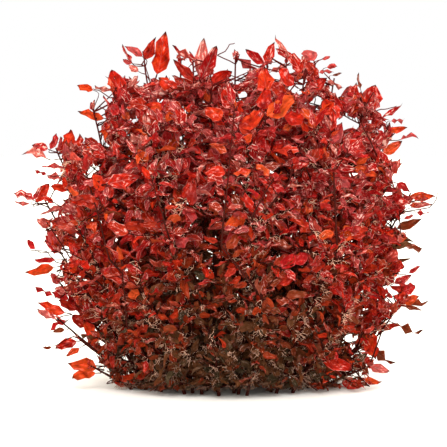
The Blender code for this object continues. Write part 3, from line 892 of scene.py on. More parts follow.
def leaf_form_mesh(name, form, material):
    """A closed leaf of length 1 that grows from the origin along +Y with its upper side up."""
    points, places, rings = [], [], []
    stalk = [(form.stalk * share, width, 0.0) for share, width in STALK_ROWS]
    blade = [
        (form.stalk + (1 - form.stalk) * share, width * form.breadth, share) for share, width in BLADE_ROWS
    ]
    for along, width, share in stalk + blade:
        rings.append(range(len(points), len(points) + 4))
        points += leaf_ring(form, along, width, share)
        places += [(across, share) for across in (0.0, 0.5, 1.0, 0.5)]
    tip = len(points)
    points.append(leaf_ring(form, 1.0, 0.0, 1.0)[0])
    places.append((0.5, 1.0))

    faces, under, creases = [tuple(rings[0])], [False], set()
    for lower, upper in zip(rings, rings[1:]):
        faces += leaf_strip(lower, upper)
        under += [False] * 4 + [True] * 4
        creases |= {frozenset(pair) for pair in zip(lower, upper)}
    last = rings[-1]
    faces += [(last[(i + 1) % 4], last[i], tip) for i in range(4)]
    under += [False] * 2 + [True] * 2
    creases |= {frozenset((point, tip)) for point in last}

    mesh = bpy.data.meshes.new(name)
    mesh.from_pydata(points, [], faces, shade_flat=False)
    layer = mesh.uv_layers.new(name="UVMap")
    for loop in mesh.loops:
        layer.data[loop.index].uv = places[loop.vertex_index]
    stalk_faces = 1 + 8 * (len(STALK_ROWS) - 1)
    add_attribute(mesh, "underside", "BOOLEAN", "FACE", under)
    add_attribute(mesh, "stalk", "BOOLEAN", "FACE", [number < stalk_faces for number in range(len(faces))])
    add_attribute(mesh, "reach", "FLOAT", "POINT", [max(0.0, p.y) for p in points])
    sharp = [frozenset(edge.vertices) in creases for edge in mesh.edges]
    add_attribute(mesh, "sharp_edge", "BOOLEAN", "EDGE", sharp)
    mesh.materials.append(material)
    return mesh


def leaf_forms(material):
    """A collection of the leaf forms, which isn't shown itself."""
    forms = bpy.data.collections.new("leaf_forms")
    for number, form in enumerate(LEAF_FORMS):
        mesh = leaf_form_mesh(f"leaf_form_{number:02d}", form, material)
        forms.objects.link(bpy.data.objects.new(mesh.name, mesh))
    return forms


# The tree that grows a dressed stem from its skeleton


def growth_tree():
    """Gives the lines their width, sets a leaf on each leaf point, bends the blades and paints the parts."""
    tree, given, result = new_group(
        "dressed_stem",
        "GeometryNodeTree",
        {
            "Skeleton": "NodeSocketGeometry",
            "Leaf forms": "NodeSocketCollection",
            "Sides": "NodeSocketInt",
            "Flutter": "NodeSocketFloat",
            "Flutter size": "NodeSocketFloat",
            **dict.fromkeys(MATERIAL_NAMES, "NodeSocketMaterial"),
        },
        {"Dressed stem": "NodeSocketGeometry"},
    )

    def named(name, data_type):
        field = add_node(tree, "GeometryNodeInputNamedAttribute", {"Name": name}, data_type=data_type)
        return field.outputs["Attribute"]

    def tubes(selection, sides):
        curves = add_node(
            tree, "GeometryNodeMeshToCurve", {"Mesh": given.outputs["Skeleton"], "Selection": selection}
        )
        ring = add_node(tree, "GeometryNodeCurvePrimitiveCircle", {"Resolution": sides, "Radius": 1.0})
        inputs = {
            "Curve": curves.outputs["Curve"],
            "Profile Curve": ring.outputs["Curve"],
            "Scale": named("radius", "FLOAT"),
            "Fill Caps": True,
        }
        return add_node(tree, "GeometryNodeCurveToMesh", inputs).outputs["Mesh"]

    def painted(geometry, material, selection=True):
        inputs = {"Geometry": geometry, "Selection": selection, "Material": given.outputs[material]}
        return add_node(tree, "GeometryNodeSetMaterial", inputs).outputs["Geometry"]

    fibre = named("fibre", "BOOLEAN")
    woody = add_node(tree, "FunctionNodeBooleanMath", {0: fibre}, operation="NOT").outputs[0]
    stems = painted(tubes(woody, given.outputs["Sides"]), "Bark")
    roots = painted(tubes(fibre, 3), "Root")

    sites = add_node(
        tree,
        "GeometryNodeSeparateGeometry",
        {"Geometry": given.outputs["Skeleton"], "Selection": named("bears_leaf", "BOOLEAN")},
        domain="POINT",
    )
    forms = add_node(
        tree,
        "GeometryNodeCollectionInfo",
        {"Collection": given.outputs["Leaf forms"], "Separate Children": True, "Reset Children": True},
    )
    leaves = add_node(
        tree,
        "GeometryNodeInstanceOnPoints",
        {
            "Points": sites.outputs["Selection"],
            "Instance": forms.outputs["Instances"],
            "Pick Instance": True,
            "Instance Index": named("form", "INT"),
            "Rotation": named("turn", "QUATERNION"),
            "Scale": named("size", "FLOAT_VECTOR"),
        },
    )
    realized = add_node(tree, "GeometryNodeRealizeInstances", {"Geometry": leaves.outputs["Instances"]})
    scale = add_node(tree, "ShaderNodeMath", {0: 1.0, 1: given.outputs["Flutter size"]}, operation="DIVIDE")
    noise = add_node(
        tree, "ShaderNodeTexNoise", {"Scale": scale.outputs[0], "Detail": 1.5}, noise_dimensions="3D"
    )
    centred = add_node(
        tree,
        "ShaderNodeVectorMath",
        {0: noise.outputs["Color"], 1: (0.5, 0.5, 0.5)},
        operation="SUBTRACT",
    )
    reach = named("reach", "FLOAT")
    amount = add_product(tree, reach, reach, given.outputs["Flutter"])
    offset = add_node(
        tree, "ShaderNodeVectorMath", {0: centred.outputs[0], "Scale": amount}, operation="SCALE"
    )
    bent = add_node(
        tree,
        "GeometryNodeSetPosition",
        {"Geometry": realized.outputs["Geometry"], "Offset": offset.outputs[0]},
    )
    place = add_split(tree, add_node(tree, "GeometryNodeInputPosition").outputs["Position"])
    lying = add_math(tree, "MULTIPLY_ADD", place["Z"], LYING_SHARE, LYING_HEIGHT)
    raised = add_highest(tree, place["Z"], lying)
    resting = add_node(tree, "ShaderNodeCombineXYZ", {"X": place["X"], "Y": place["Y"], "Z": raised})
    laid = add_node(
        tree,
        "GeometryNodeSetPosition",
        {"Geometry": bent.outputs["Geometry"], "Position": resting.outputs[0]},
    )
    blades = painted(laid.outputs["Geometry"], "Upper side")
    blades = painted(blades, "Underside", named("underside", "BOOLEAN"))
    blades = painted(blades, "Bark", named("stalk", "BOOLEAN"))
    whole = add_node(tree, "GeometryNodeJoinGeometry")
    for part in (stems, roots, blades):
        tree.links.new(part, whole.inputs["Geometry"])
    tree.links.new(whole.outputs["Geometry"], result.inputs["Dressed stem"])
    return tree


# The lines and leaf sites of a stem


class Growth(NamedTuple):
    """What a stem grows with: its skeleton, the settings of its shoots and leaves, and random numbers."""

    skeleton: Skeleton
    shoots: SeedboxShoots
    leaves: SeedboxLeaves
    rng: random.Random


def face_apexes(side, turn):
    """Tips spread evenly over the front (side -1) or the back (side 1) of the dome by the golden angle."""
    apexes = []
    for i in range(FACE_SHOOTS):
        out = FACE_SPREAD * math.sqrt((i + 0.5) / FACE_SHOOTS)
        angle = turn + i * GOLDEN_ANGLE
        x = DOME_RADII[0] * out * math.cos(angle)
        y = DOME_RADII[1] * math.sqrt(1 - out * out) * side
        z = DOME_HEIGHT + DOME_RADII[2] * out * math.sin(angle)
        apexes.append(Vector((x, y, max(z, LOWEST_APEX))))
    return apexes


OUTLINE = [Vector(apex) * MM for apex in OUTLINE_APEXES]
FRONT = face_apexes(-1, FRONT_TURN)
BACK = face_apexes(1, BACK_TURN)
APEXES = [apex + BOX_SHIFT for apex in OUTLINE + FRONT + BACK]


def foot_of(node):
    """The middle of a frame stem's cut foot."""
    cut = [v.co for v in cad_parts[node].data.vertices if v.co.z < 0.01 * MM]
    low = Vector(map(min, *cut))
    high = Vector(map(max, *cut))
    middle = (low + high) / 2
    return Vector((middle.x, middle.y, 0))


def stem_line(foot, apex):
    """A stem leaves its foot steeply and leans out towards its tip."""
    chord = apex - foot
    start = (chord.normalized() + UP * BEND).normalized()
    third = chord.length / 3
    controls = (foot, foot + start * third, apex - chord.normalized() * third, apex)
    return Line(controls, UP.cross(chord).normalized(), chord.length * 1.01)


def shoot_line(start, direction, length, lift):
    """A side shoot or root that bends upward, or downward where the lift is negative."""
    third = length / 3
    later = (direction + UP * lift).normalized()
    middle = start + direction * third
    end = middle + (direction + later).normalized() * third + later * third
    controls = (start, middle, end - later * third, end)
    across = UP.cross(direction)
    if across.length < 0.05:
        across = Vector((1, 0, 0))
    return Line(controls, across.normalized(), length)


LINES = {
    number: stem_line(foot_of(f"stem_{number:02d}"), apex) for number, apex in enumerate(APEXES, start=1)
}


def point_on(line, t):
    a, b, c, d = line.controls
    s = 1 - t
    return a * s**3 + b * (3 * s * s * t) + c * (3 * s * t * t) + d * t**3


def direction_on(line, t):
    a, b, c, d = line.controls
    s = 1 - t
    return ((b - a) * s * s + (c - b) * (2 * s * t) + (d - c) * t * t).normalized()


def outward_at(line, t, angle):
    """A direction square to a line, turned round it by an angle."""
    other = direction_on(line, t).cross(line.across)
    return (line.across * math.cos(angle) + other * math.sin(angle)).normalized()


def rising_from(line, t, outward, rise):
    """A direction that rises from outward towards the direction of the line."""
    return outward * math.cos(rise) + direction_on(line, t) * math.sin(rise)


def depth_in_dome(point):
    """0 at the surface of the dome and 1 at its middle."""
    offset = point - DOME_MIDDLE
    scaled = Vector(offset[axis] / DOME_RADII[axis] for axis in range(3))
    return clamped(1 - scaled.length)


def away_from_bush(point):
    """The level direction from the middle of the bush."""
    level = Vector((point.x - BOX_SHIFT.x, point.y - BOX_SHIFT.y, 0))
    return level.normalized() if level.length > 1 * MM else FRONT_WAY


def outlook_from(place):
    """To the front, or to the back from a place in the back of the bush."""
    return FRONT_WAY if place.y < BACK_HALF else -FRONT_WAY


def seen_at(point):
    """The noted place, in millimetres across and up, at which a point is seen in the front view."""
    ray = point - VIEWPOINT
    spot = (VIEWPOINT + ray * (-VIEWPOINT.y / ray.y)) / MM
    return spot.x, spot.z + NOTED_LOW


def at_depth(across, up, depth):
    """The point that is seen at a noted place of the front view and lies at a depth."""
    ray = Vector((across, 0, up - NOTED_LOW)) * MM - VIEWPOINT
    return VIEWPOINT + ray * ((depth - VIEWPOINT.y) / ray.y)


def face_depth(across, up, room):
    """How deep a noted place of the front view is that lies this far before the front of the dome."""
    x = (across * MM - BOX_SHIFT.x) / DOME_RADII[0]
    z = ((up - NOTED_LOW) * MM - DOME_HEIGHT) / DOME_RADII[2]
    return BOX_SHIFT.y - DOME_RADII[1] * math.sqrt(max(0.0, 1 - x * x - z * z)) - room


SEEN_TIPS = [seen_at(apex) for apex in APEXES]


def foliage_at(across, up):
    """Whether a noted place is at a growing tip, or within the edge of the foliage and outside its gaps."""
    if any(math.hypot(across - x, up - z) < TIP_ROOM for x, z in SEEN_TIPS):
        return True
    if any(((across - x) / wide) ** 2 + ((up - z) / high) ** 2 < 1 for x, z, wide, high in GAPS):
        return False
    crossings = 0
    for (x0, z0), (x1, z1) in zip(FOLIAGE_EDGE, FOLIAGE_EDGE[1:] + FOLIAGE_EDGE[:1]):
        if (z0 > up) != (z1 > up) and across < x0 + (up - z0) * (x1 - x0) / (z1 - z0):
            crossings += 1
    return crossings % 2 == 1


def in_foliage(point):
    return foliage_at(*seen_at(point))


def height_share(point):
    """0 at the ground and 1 at the top of the bush."""
    return clamped(point.z / (DOME_HEIGHT + DOME_RADII[2]))


def stays_inside(point, clearance=LEAF_CLEARANCE):
    """Whether a point is clear of the ground and within reach of the frame's box."""
    low, high = FRAME_BOX
    return (
        point.z > clearance
        and point.z < high[2] + BOX_ROOM
        and all(low[axis] - BOX_ROOM < point[axis] < high[axis] + BOX_ROOM for axis in (0, 1))
    )


# Leaves


def leaf_tone(place, youth, rng):
    """Hue from crimson (0) to orange (1), age with painted shade from fresh (0) to brown (1), and a chance
    value.
    """
    share = height_share(place)
    hue = rng.gauss(GROUND_HUE - CROWN_COOLING * share, HUE_SPREAD)
    if rng.random() < ORANGE_SHARE:
        hue = rng.uniform(*ORANGE_HUES)
    # Depth in the dome and the shade over the foot darken a leaf as painted shade; lowness adds age and
    # painted shade.
    foot_shade = clamped(1 - math.hypot(place.x / FOOT_SHADE[0], place.z / FOOT_SHADE[1]))
    age_and_shade = LOW_AGE_AND_SHADE * (1 - share) ** LOW_AGE_AND_SHADE_POWER + DEEP_PAINTED_SHADE * depth_in_dome(place) + FOOT_PAINTED_SHADE * foot_shade
    age_and_shade += rng.gauss(*AGE_CHANCE) - YOUTH_FRESHNESS * youth
    warmest = WARMEST_RED if hue < ORANGE_HUES[0] else 1
    return Vector((clamped(hue, 0, warmest), clamped(age_and_shade), rng.random()))


def turned(along, normal):
    """How a leaf is turned that grows along one direction and whose upper side faces another."""
    return Matrix((along.cross(normal), along, normal)).transposed()


def square_part(way, along):
    """The part of a direction that is square to a leaf's length."""
    return (way - along * way.dot(along)).normalized()


def leaf_turn(along, axis, place, rng):
    """Turns a leaf's upper side partly to the tip of its shoot and partly to the light."""
    broadside = between(*OUTLOOK_PULL, height_share(place)) * rng.random() ** OUTLOOK_POWER
    light = UP + away_from_bush(place) * OUTWARD_PULL + outlook_from(place) * broadside
    normal = square_part(axis.lerp(light.normalized(), LIGHT_PULL), along)
    return turned(along, Matrix.Rotation(rng.gauss(0, ROLL_SPREAD), 3, along) @ normal)


def leaf_fits(place, turn, size, form):
    """Whether a leaf's tip, the edges of its blade and the middle of it stay inside."""
    spread = form.breadth / 2
    far = [
        (0, 0.4, -form.arch * 0.16),
        (-spread, 0.6, -form.arch * 0.36),
        (spread, 0.6, -form.arch * 0.36),
        (form.bow, 1, -form.arch),
    ]
    points = [place + turn @ Vector(a * b for a, b in zip(point, size)) for point in far]
    return all(stays_inside(point) and in_foliage(point) for point in points)


def share_kept(place, outward, below):
    """How many leaves and shoots stay on one side of a stem: fewer of the old ones that would hide it."""
    if outward.dot(outlook_from(place)) > 0.2 and below > HIDING_BELOW and place.z > LOW_FOLIAGE:
        return HIDING_SHARE
    return INSIDE_SHARE if depth_in_dome(place) > INSIDE else 1.0


def add_leaf(growth, place, axis, outward, rise, length, youth):
    """Adds one leaf that rises from square to its shoot, swung and cut down until it fits."""
    rng = growth.rng
    form = rng.randrange(len(LEAF_FORMS))
    tone = leaf_tone(place, youth, rng)
    for attempt in range(LEAF_TRIES):
        steep = rise + rng.gauss(0, RISE_SPREAD)
        away = Matrix.Rotation(rng.gauss(0, TRY_SWING) * attempt, 3, axis) @ outward
        along = away * math.cos(steep) + axis * math.sin(steep) + UP * TRY_LIFT * attempt
        along = (along + Vector(rng.gauss(0, STRAY_SPREAD) for _ in range(3))).normalized()
        width = length * growth.leaves.width_share * rng.uniform(*WIDTH_CHANCE)
        width *= between(1, YOUNG_WIDTH, youth)
        size = Vector((width, length, length))
        turn = leaf_turn(along, axis, place, rng)
        if leaf_fits(place, turn, size, LEAF_FORMS[form]):
            growth.skeleton.leaves.append(LeafSite(place, turn.to_quaternion(), size, form, tone))
            return
        length *= TRY_LENGTH


def add_leaf_pair(growth, line, t, angle, below, scale=1.0, keep=1.0):
    """Adds two opposite leaves at a node. Below is its distance from the growing tip."""
    leaves, rng = growth.leaves, growth.rng
    place = point_on(line, t)
    axis = direction_on(line, t)
    youth = clamped(1 - below / YOUNG_REACH)
    grown = clamped(below / SHORT_REACH)
    rise = between(*LEAF_RISES, clamped(below / STEEP_REACH))
    for side in (0, math.pi):
        length = between(leaves.young_length, leaves.grown_length, grown) * rng.uniform(*LENGTH_CHANCE)
        length = length * scale * between(*LENGTH_BY_HEIGHT, height_share(place))
        outward = outward_at(line, t, angle + side)
        if rng.random() < keep * share_kept(place, outward, below):
            add_leaf(growth, place, axis, outward, rise, length, youth)


def add_tip_leaves(growth, line, angle=0.0, scale=1.0):
    """The close cluster of young leaves at a growing tip."""
    for below, turn in TIP_NODES:
        add_leaf_pair(growth, line, 1 - below / line.length, angle + turn, below, scale)


# Stems, side shoots and roots


def add_axis(growth, line, widths, kink, count, from_ground=False):
    """Adds the line of a stem or side shoot as points, straying a little to the side on the way."""
    rng = growth.rng
    points, radii = [], []
    for i in range(count + 1):
        t = i / count
        point = point_on(line, t)
        if 0 < i < count:
            point = point + outward_at(line, t, rng.uniform(0, math.tau)) * rng.uniform(0, kink)
        radius = between(*widths, t) / 2
        if not from_ground:
            point.z = max(point.z, radius)
        points.append(point)
        radii.append(radius)
    if from_ground:
        points.insert(1, points[0] + UP * MM)
        radii.insert(1, radii[0])
    growth.skeleton.add_line(points, radii)


def add_roots(growth, line, t, longest, count):
    """A tuft of fine curly roots from round a node, most of them outward."""
    if depth_in_dome(point_on(line, t)) > ROOT_DEPTH:
        return
    rng, width = growth.rng, growth.shoots.root_width
    for _ in range(count):
        place = point_on(line, clamped(t + rng.uniform(-1, 1) * ROOT_SPREAD / line.length))
        outlook = away_from_bush(place) + outlook_from(place)
        angle = rng.uniform(0, math.tau)
        direction = Vector((math.cos(angle), math.sin(angle), rng.uniform(*ROOT_SLOPE)))
        direction = (direction + outlook * ROOT_OUTLOOK).normalized()
        root = shoot_line(place, direction, rng.uniform(ROOT_SHORTEST, 1) * longest, rng.uniform(*ROOT_LIFT))
        points = [point_on(root, i / 2) for i in range(3)]
        points[1:] = [
            point + Vector(rng.uniform(-1, 1) for _ in range(3)) * ROOT_CURL * MM for point in points[1:]
        ]
        if all(stays_inside(point, ROOT_CLEARANCE) and in_foliage(point) for point in points):
            radii = [between(width, width * ROOT_TAPER, i / 2) / 2 for i in range(3)]
            growth.skeleton.add_line(points, radii, fibre=True)


def add_tuft(growth, line, t, height, tuft):
    """Roots at a node up to the height to which the kind of tuft grows."""
    longest, counts, highest = tuft
    if height < highest:
        add_roots(growth, line, t, longest, growth.rng.randrange(*counts))


def add_side_shoot(growth, start, direction, length, lift):
    """A side shoot with a pair of leaves at each node and a cluster at its tip."""
    shoots, rng = growth.shoots, growth.rng
    line = shoot_line(start, direction, length, lift)
    if not (stays_inside(line.controls[3]) and in_foliage(line.controls[3])):
        return
    add_axis(growth, line, (shoots.shoot_width, shoots.tip_width * 0.6), SIDE_KINK, 3)
    angle = rng.uniform(0, math.tau)
    below = FIRST_NODE
    while below < length - SIDE_LAST_NODE:
        t = 1 - below / length
        add_leaf_pair(growth, line, t, angle, below, SIDE_LEAF_SCALE, SIDE_LEAF_SHARE)
        add_tuft(growth, line, t, start.z, SIDE_ROOTS)
        below += rng.uniform(*SIDE_SPACING) * MM
        angle += QUARTER
    add_tip_leaves(growth, line, angle, SIDE_TIP_SCALE)


def add_free_shoots(growth, line, t, angle, below):
    """Side shoots of the dressed stem alone, more on the side that faces away from the bush's middle."""
    rng = growth.rng
    place = point_on(line, t)
    away = away_from_bush(place)
    sides = sorted((outward_at(line, t, angle + turn) for turn in (0, math.pi)), key=away.dot, reverse=True)
    for outward, chance in zip(sides, FREE_CHANCES):
        if rng.random() > chance * share_kept(place, outward, below):
            continue
        direction = rising_from(line, t, outward, math.radians(rng.uniform(*FREE_RISE)))
        length = between(*FREE_LENGTH, clamped((below - FREE_GROWTH[0]) / FREE_GROWTH[1])) * MM
        length *= rng.uniform(*FREE_LENGTH_CHANCE)
        add_side_shoot(growth, place, direction, length, rng.uniform(*FREE_LIFT))


def add_foot_growth(growth, line):
    """The low leaves and close roots round a foot, which hide the ground under the bush."""
    rng = growth.rng
    foot = line.controls[0]
    above, longest, in_front, at_back = CUT_ROOTS
    add_roots(growth, line, above / line.length, longest, in_front if foot.y < 0 else at_back)
    for above in FOOT_NODES:
        t = above / line.length
        below = (1 - t) * line.length
        add_leaf_pair(growth, line, t, rng.uniform(0, math.tau), below, SMALL_LEAF_SCALE)
        add_roots(growth, line, t, *FOOT_ROOTS)
    if foot.y > 0:
        return
    for _ in range(FOOT_STRANDS):
        lean = Vector((rng.gauss(0, 0.12), rng.uniform(-0.25, 0), 1)).normalized()
        strand = shoot_line(point_on(line, rng.uniform(0.04, 0.3)), lean, rng.uniform(*STRAND_LENGTH), 0.3)
        if in_foliage(strand.controls[3]):
            points = [
                point_on(strand, i / 4) + Vector((rng.gauss(0, 1), rng.gauss(0, 1), 0)) * MM for i in range(5)
            ]
            points[0] = strand.controls[0]
            growth.skeleton.add_line(points, [growth.shoots.root_width * 0.4] * 5, fibre=True)


def grow_stem(growth, number):
    """Grows one stem over the line and first side shoots of its frame stem."""
    shoots, rng = growth.shoots, growth.rng
    line = LINES[number]
    face_angle = rng.uniform(0, QUARTER) + QUARTER / 2 - rng.randrange(4) * QUARTER
    frame_lengths = [rng.uniform(*FRAME_SHOOT_LENGTH) for _ in FRAME_SHOOT_NODES]

    count = max(6, round(line.length / STEM_STEP))
    add_axis(growth, line, (shoots.foot_width, shoots.tip_width), shoots.kink, count, from_ground=True)
    for index, (below, length) in enumerate(zip(FRAME_SHOOT_NODES, frame_lengths)):
        t = 1 - below / line.length
        if t * line.length >= LOWEST_FRAME_SHOOT:
            rising = rising_from(line, t, outward_at(line, t, face_angle + index * math.pi), FRAME_SHOOT_RISE)
            add_side_shoot(growth, point_on(line, t), rising, length * FRAME_SHOOT_GROWTH, FRAME_SHOOT_LIFT)

    below, step = FIRST_NODE, 0
    while below < line.length - LAST_NODE:
        t = 1 - below / line.length
        angle = face_angle + QUARTER * (step % 2)
        place = point_on(line, t)
        thinned = between(1.0, THINNED_SHARE, clamped((below - THINNING[0]) / THINNING[1]))
        add_leaf_pair(growth, line, t, angle, below, keep=1.0 if place.z < LOW_FOLIAGE else thinned)
        if below > between(*SHOOT_FREE, height_share(place)) and t * line.length > LOWEST_SHOOT:
            add_free_shoots(growth, line, t, angle + QUARTER, below)
        add_tuft(growth, line, t, place.z, STEM_ROOTS)
        spacing = min(shoots.node_spacing, YOUNG_SPACING + below * SPACING_GROWTH)
        below += spacing * rng.uniform(*SPACING_CHANCE)
        step += 1
    add_tip_leaves(growth, line, face_angle)
    add_foot_growth(growth, line)


# What is noted in the front view


class Start(NamedTuple):
    """A place on a stem from which something can grow, and where it is seen."""

    number: int
    t: float
    place: Vector
    seen: tuple


def possible_starts():
    """Places all along the stems, closer than their nodes, above the lowest fifth."""
    starts = []
    for number, line in LINES.items():
        for i in range(8, 40):
            place = point_on(line, i / 40)
            starts.append(Start(number, i / 40, place, seen_at(place)))
    return starts


STARTS = possible_starts()


def start_seen_near(across, up, last=len(LINES)):
    """The start, on a stem up to the last one, that is seen nearest to a noted place and not above it."""

    def distance(start):
        x, z = start.seen
        return math.hypot(across - x, up - z) + DOWNWARD_COST * max(0.0, z + LEAST_RISE - up)

    return min((start for start in STARTS if start.number <= last), key=distance)


def start_near(point):
    """The start from which a stalk reaches a point by the shortest way up."""

    def distance(start):
        downward = max(0.0, start.place.z + LEAST_RISE * MM - point.z)
        return (point - start.place).length + DOWNWARD_COST * downward

    return min(STARTS, key=distance)


def add_noted_leaf(growth, start, depth, row):
    """A leaf where the front view shows it, on a stalk from its stem."""
    shoots, rng = growth.shoots, growth.rng
    x0, z0, x1, z1, width, tone = row
    root = at_depth(x0, z0, depth)
    tip = at_depth(x1, z1, depth + rng.uniform(-0.3, 0.3) * math.hypot(x1 - x0, z1 - z0) * MM)
    blade = (tip - root).length
    along = (tip - root).normalized()
    real_width = max(width * MM, blade * growth.leaves.width_share * NOTED_WIDTH)
    form = rng.choice(BROAD_FORMS if width * MM > BROADSIDE * real_width else NARROW_FORMS)
    size = blade / (1 - LEAF_FORMS[form].stalk)
    joint = tip - along * size

    # The blade is rolled from its widest view until it looks as narrow as it is noted, its upper side higher.
    flat = square_part((VIEWPOINT - root).normalized() * (-1 if tone == "rosy" else 1), along)
    lean = math.acos(width * MM / real_width)
    normal = max((Matrix.Rotation(turn, 3, along) @ flat for turn in (lean, -lean)), key=lambda way: way.z)
    turn = turned(along, normal).to_quaternion()
    scale = Vector((real_width / LEAF_FORMS[form].breadth, size, size * NOTED_FOLD))
    growth.skeleton.leaves.append(LeafSite(joint, turn, scale, form, Vector((*TONES[tone], rng.random()))))

    third = (joint - start.place).length / 3
    leaving = direction_on(LINES[start.number], start.t)
    controls = (start.place, start.place + leaving * third, joint - along * third, joint)
    stalk = Line(controls, UP, third * 3)
    add_axis(growth, stalk, (shoots.shoot_width * 0.8, shoots.tip_width * 0.5), SIDE_KINK, 5)
    below, room, spacing = STALK_NODES
    while below < stalk.length - room:
        t = 1 - below / stalk.length
        add_leaf_pair(growth, stalk, t, rng.uniform(0, math.tau), below, SMALL_LEAF_SCALE)
        below += spacing


def add_noted_line(growth, start, places, widths, leafy=False):
    """A twig or long shoot through places, from its start on, bare or leafy. Returns its last stretch."""
    places = [start.place, *places]
    count = len(places) - 1
    for i, (low, high) in enumerate(zip(places, places[1:])):
        across = (high - low).cross(FRONT_WAY).normalized()
        controls = (low, low.lerp(high, 1 / 3), low.lerp(high, 2 / 3), high)
        stretch = Line(controls, across, (high - low).length)
        ends = (between(*widths, i / count), between(*widths, (i + 1) / count))
        add_axis(growth, stretch, ends, 0.5 * MM, 3)
        below = LIMB_NODES / 2
        while leafy and below < stretch.length:
            t = 1 - below / stretch.length
            add_leaf_pair(growth, stretch, t, growth.rng.uniform(-0.5, 0.5), 60 * MM, 0.7)
            below += LIMB_NODES
    return stretch


def add_noted_growth(growths):
    """The leaves, twigs and shoots that stand out in the front view."""
    for row in OUTLINE_LEAVES:
        start = start_seen_near(*row[:2], last=len(OUTLINE))
        add_noted_leaf(growths[start.number], start, start.place.y, row)
    for row in FACE_LEAVES:
        depth = face_depth(*row[:2], FACE_ROOM)
        start = start_near(at_depth(*row[:2], depth))
        add_noted_leaf(growths[start.number], start, depth, row)
    for points in TWIGS:
        start = start_seen_near(*points[0], last=len(OUTLINE))
        places = [at_depth(*point, start.place.y) for point in points]
        add_noted_line(growths[start.number], start, places, TWIG_WIDTHS)
    for points in BARE_SHOOTS + LIMBS:
        leafy = points in LIMBS
        places = [at_depth(*point, face_depth(*point, LIMB_ROOM)) for point in points]
        start = start_near(places[0] - UP * LIMB_DROP)
        widths = LIMB_WIDTHS if leafy else BARE_SHOOT_WIDTHS
        end = add_noted_line(growths[start.number], start, places, widths, leafy)
        add_tip_leaves(growths[start.number], end)


# Bare places


def blade_middles(growths):
    return [
        leaf.root + leaf.turn @ Vector((0, leaf.size.y * BLADE_MIDDLE, 0))
        for growth in growths.values()
        for leaf in growth.skeleton.leaves
    ]


def bare_places(growths):
    """The noted places within the foliage, on an even grid, over which no leaf is seen."""
    seen = (seen_at(middle) for middle in blade_middles(growths))
    taken = {(round(x / FILL_STEP), round(z / FILL_STEP)) for x, z in seen}
    beside = ((0, 0), (-FILL_STEP, 0), (FILL_STEP, 0), (0, -FILL_STEP), (0, FILL_STEP))
    return [
        (column * FILL_STEP, row * FILL_STEP)
        for column in FILL_COLUMNS
        for row in FILL_ROWS
        if (column, row) not in taken
        and all(foliage_at(column * FILL_STEP + dx, row * FILL_STEP + dz) for dx, dz in beside)
    ]


def fill_bare_places(growths):
    """Adds a side shoot towards each place of the foliage that has no leaf yet."""
    for x, z in bare_places(growths):
        start = start_seen_near(x, z)
        growth = growths[start.number]
        way = at_depth(x, z, start.place.y + growth.rng.uniform(-8, 8) * MM) - start.place
        if way.length < FILL_REACH:
            length = max(way.length + 6 * MM, SHORTEST_FILL)
            add_side_shoot(growth, start.place, way.normalized(), length, 0.2)


def dome_places():
    """Places spread evenly just inside the surface of the dome, all round it, by the golden angle.

    A place that would be seen beyond the foliage is lowered until it isn't.
    """
    for i in range(DOME_PLACES):
        rise = between(1.0, DOME_LOWEST, (i + 0.5) / DOME_PLACES)
        out = math.sqrt(1 - rise * rise)
        way = Vector((out * math.cos(i * GOLDEN_ANGLE), out * math.sin(i * GOLDEN_ANGLE), rise))
        place = DOME_MIDDLE + Vector(a * b * DOME_INSET for a, b in zip(way, DOME_RADII))
        lowered = (place - UP * drop * MM for drop in DOME_DROPS)
        yield next(filter(in_foliage, lowered), place)


def fill_bare_dome(growths):
    """Adds a side shoot towards each place of the dome that has no leaf close by."""
    middles = blade_middles(growths)
    near = KDTree(len(middles))
    for number, middle in enumerate(middles):
        near.insert(middle, number)
    near.balance()
    for place in dome_places():
        noted = place.y < FRONT_NOTED[0] and place.z < FRONT_NOTED[1]
        if near.find(place)[2] < (FRONT_BARE_ROOM if noted else BARE_ROOM):
            continue
        start = start_near(place)
        way = place - start.place
        if way.length < DOME_REACH:
            length = max(way.length, SHORTEST_FILL)
            add_side_shoot(growths[start.number], start.place, way.normalized(), length, 0.1)


def grow_skeletons(shoots, leaves):
    """The skeletons of all stems by number. What is grown on the whole bush draws its own random numbers."""
    shared = random.Random(0)
    growths = {}
    for number in LINES:
        growth = Growth(Skeleton(), shoots, leaves, random.Random(number))
        grow_stem(growth, number)
        growths[number] = growth._replace(rng=shared)
    add_noted_growth(growths)
    fill_bare_dome(growths)
    fill_bare_places(growths)
    return {number: growth.skeleton for number, growth in growths.items()}


# Pieces


def set_input(modifier, name, value):
    """Fills a modifier's input by the identifier of the socket with that name."""
    for item in modifier.node_group.interface.items_tree:
        if item.item_type == "SOCKET" and item.in_out == "INPUT" and item.name == name:
            modifier[item.identifier] = value
            return
    raise KeyError(name)


def slot_of(apex):
    return next(slot for height, slot in SLOT_HEIGHTS if apex.z >= height)


def grown_mesh(skeleton, name, tree, inputs):
    """The plain mesh that the tree grows from a skeleton."""
    seed = bpy.data.objects.new(name, skeleton.to_mesh(name))
    bpy.context.scene.collection.objects.link(seed)
    modifier = seed.modifiers.new("growth", "NODES")
    modifier.node_group = tree
    for label, value in inputs.items():
        set_input(modifier, label, value)
    graph = bpy.context.evaluated_depsgraph_get()
    mesh = bpy.data.meshes.new_from_object(seed.evaluated_get(graph))
    sites = seed.data
    bpy.data.objects.remove(seed)
    bpy.data.meshes.remove(sites)
    return mesh


def shared_parts(scene):
    """The tree and the inputs that every stem is grown with, made once."""
    tree = bpy.data.node_groups.get("dressed_stem")
    if tree is None:
        tree = growth_tree()
        make_plant_materials(scene.seedbox_colours)
        leaf_forms(bpy.data.materials[MATERIAL_NAMES["Upper side"]])
    return tree, {
        "Leaf forms": bpy.data.collections["leaf_forms"],
        "Sides": scene.seedbox_shoots.sides,
        "Flutter": scene.seedbox_leaves.flutter,
        "Flutter size": scene.seedbox_leaves.flutter_size,
        **{part: bpy.data.materials[name] for part, name in MATERIAL_NAMES.items()},
    }


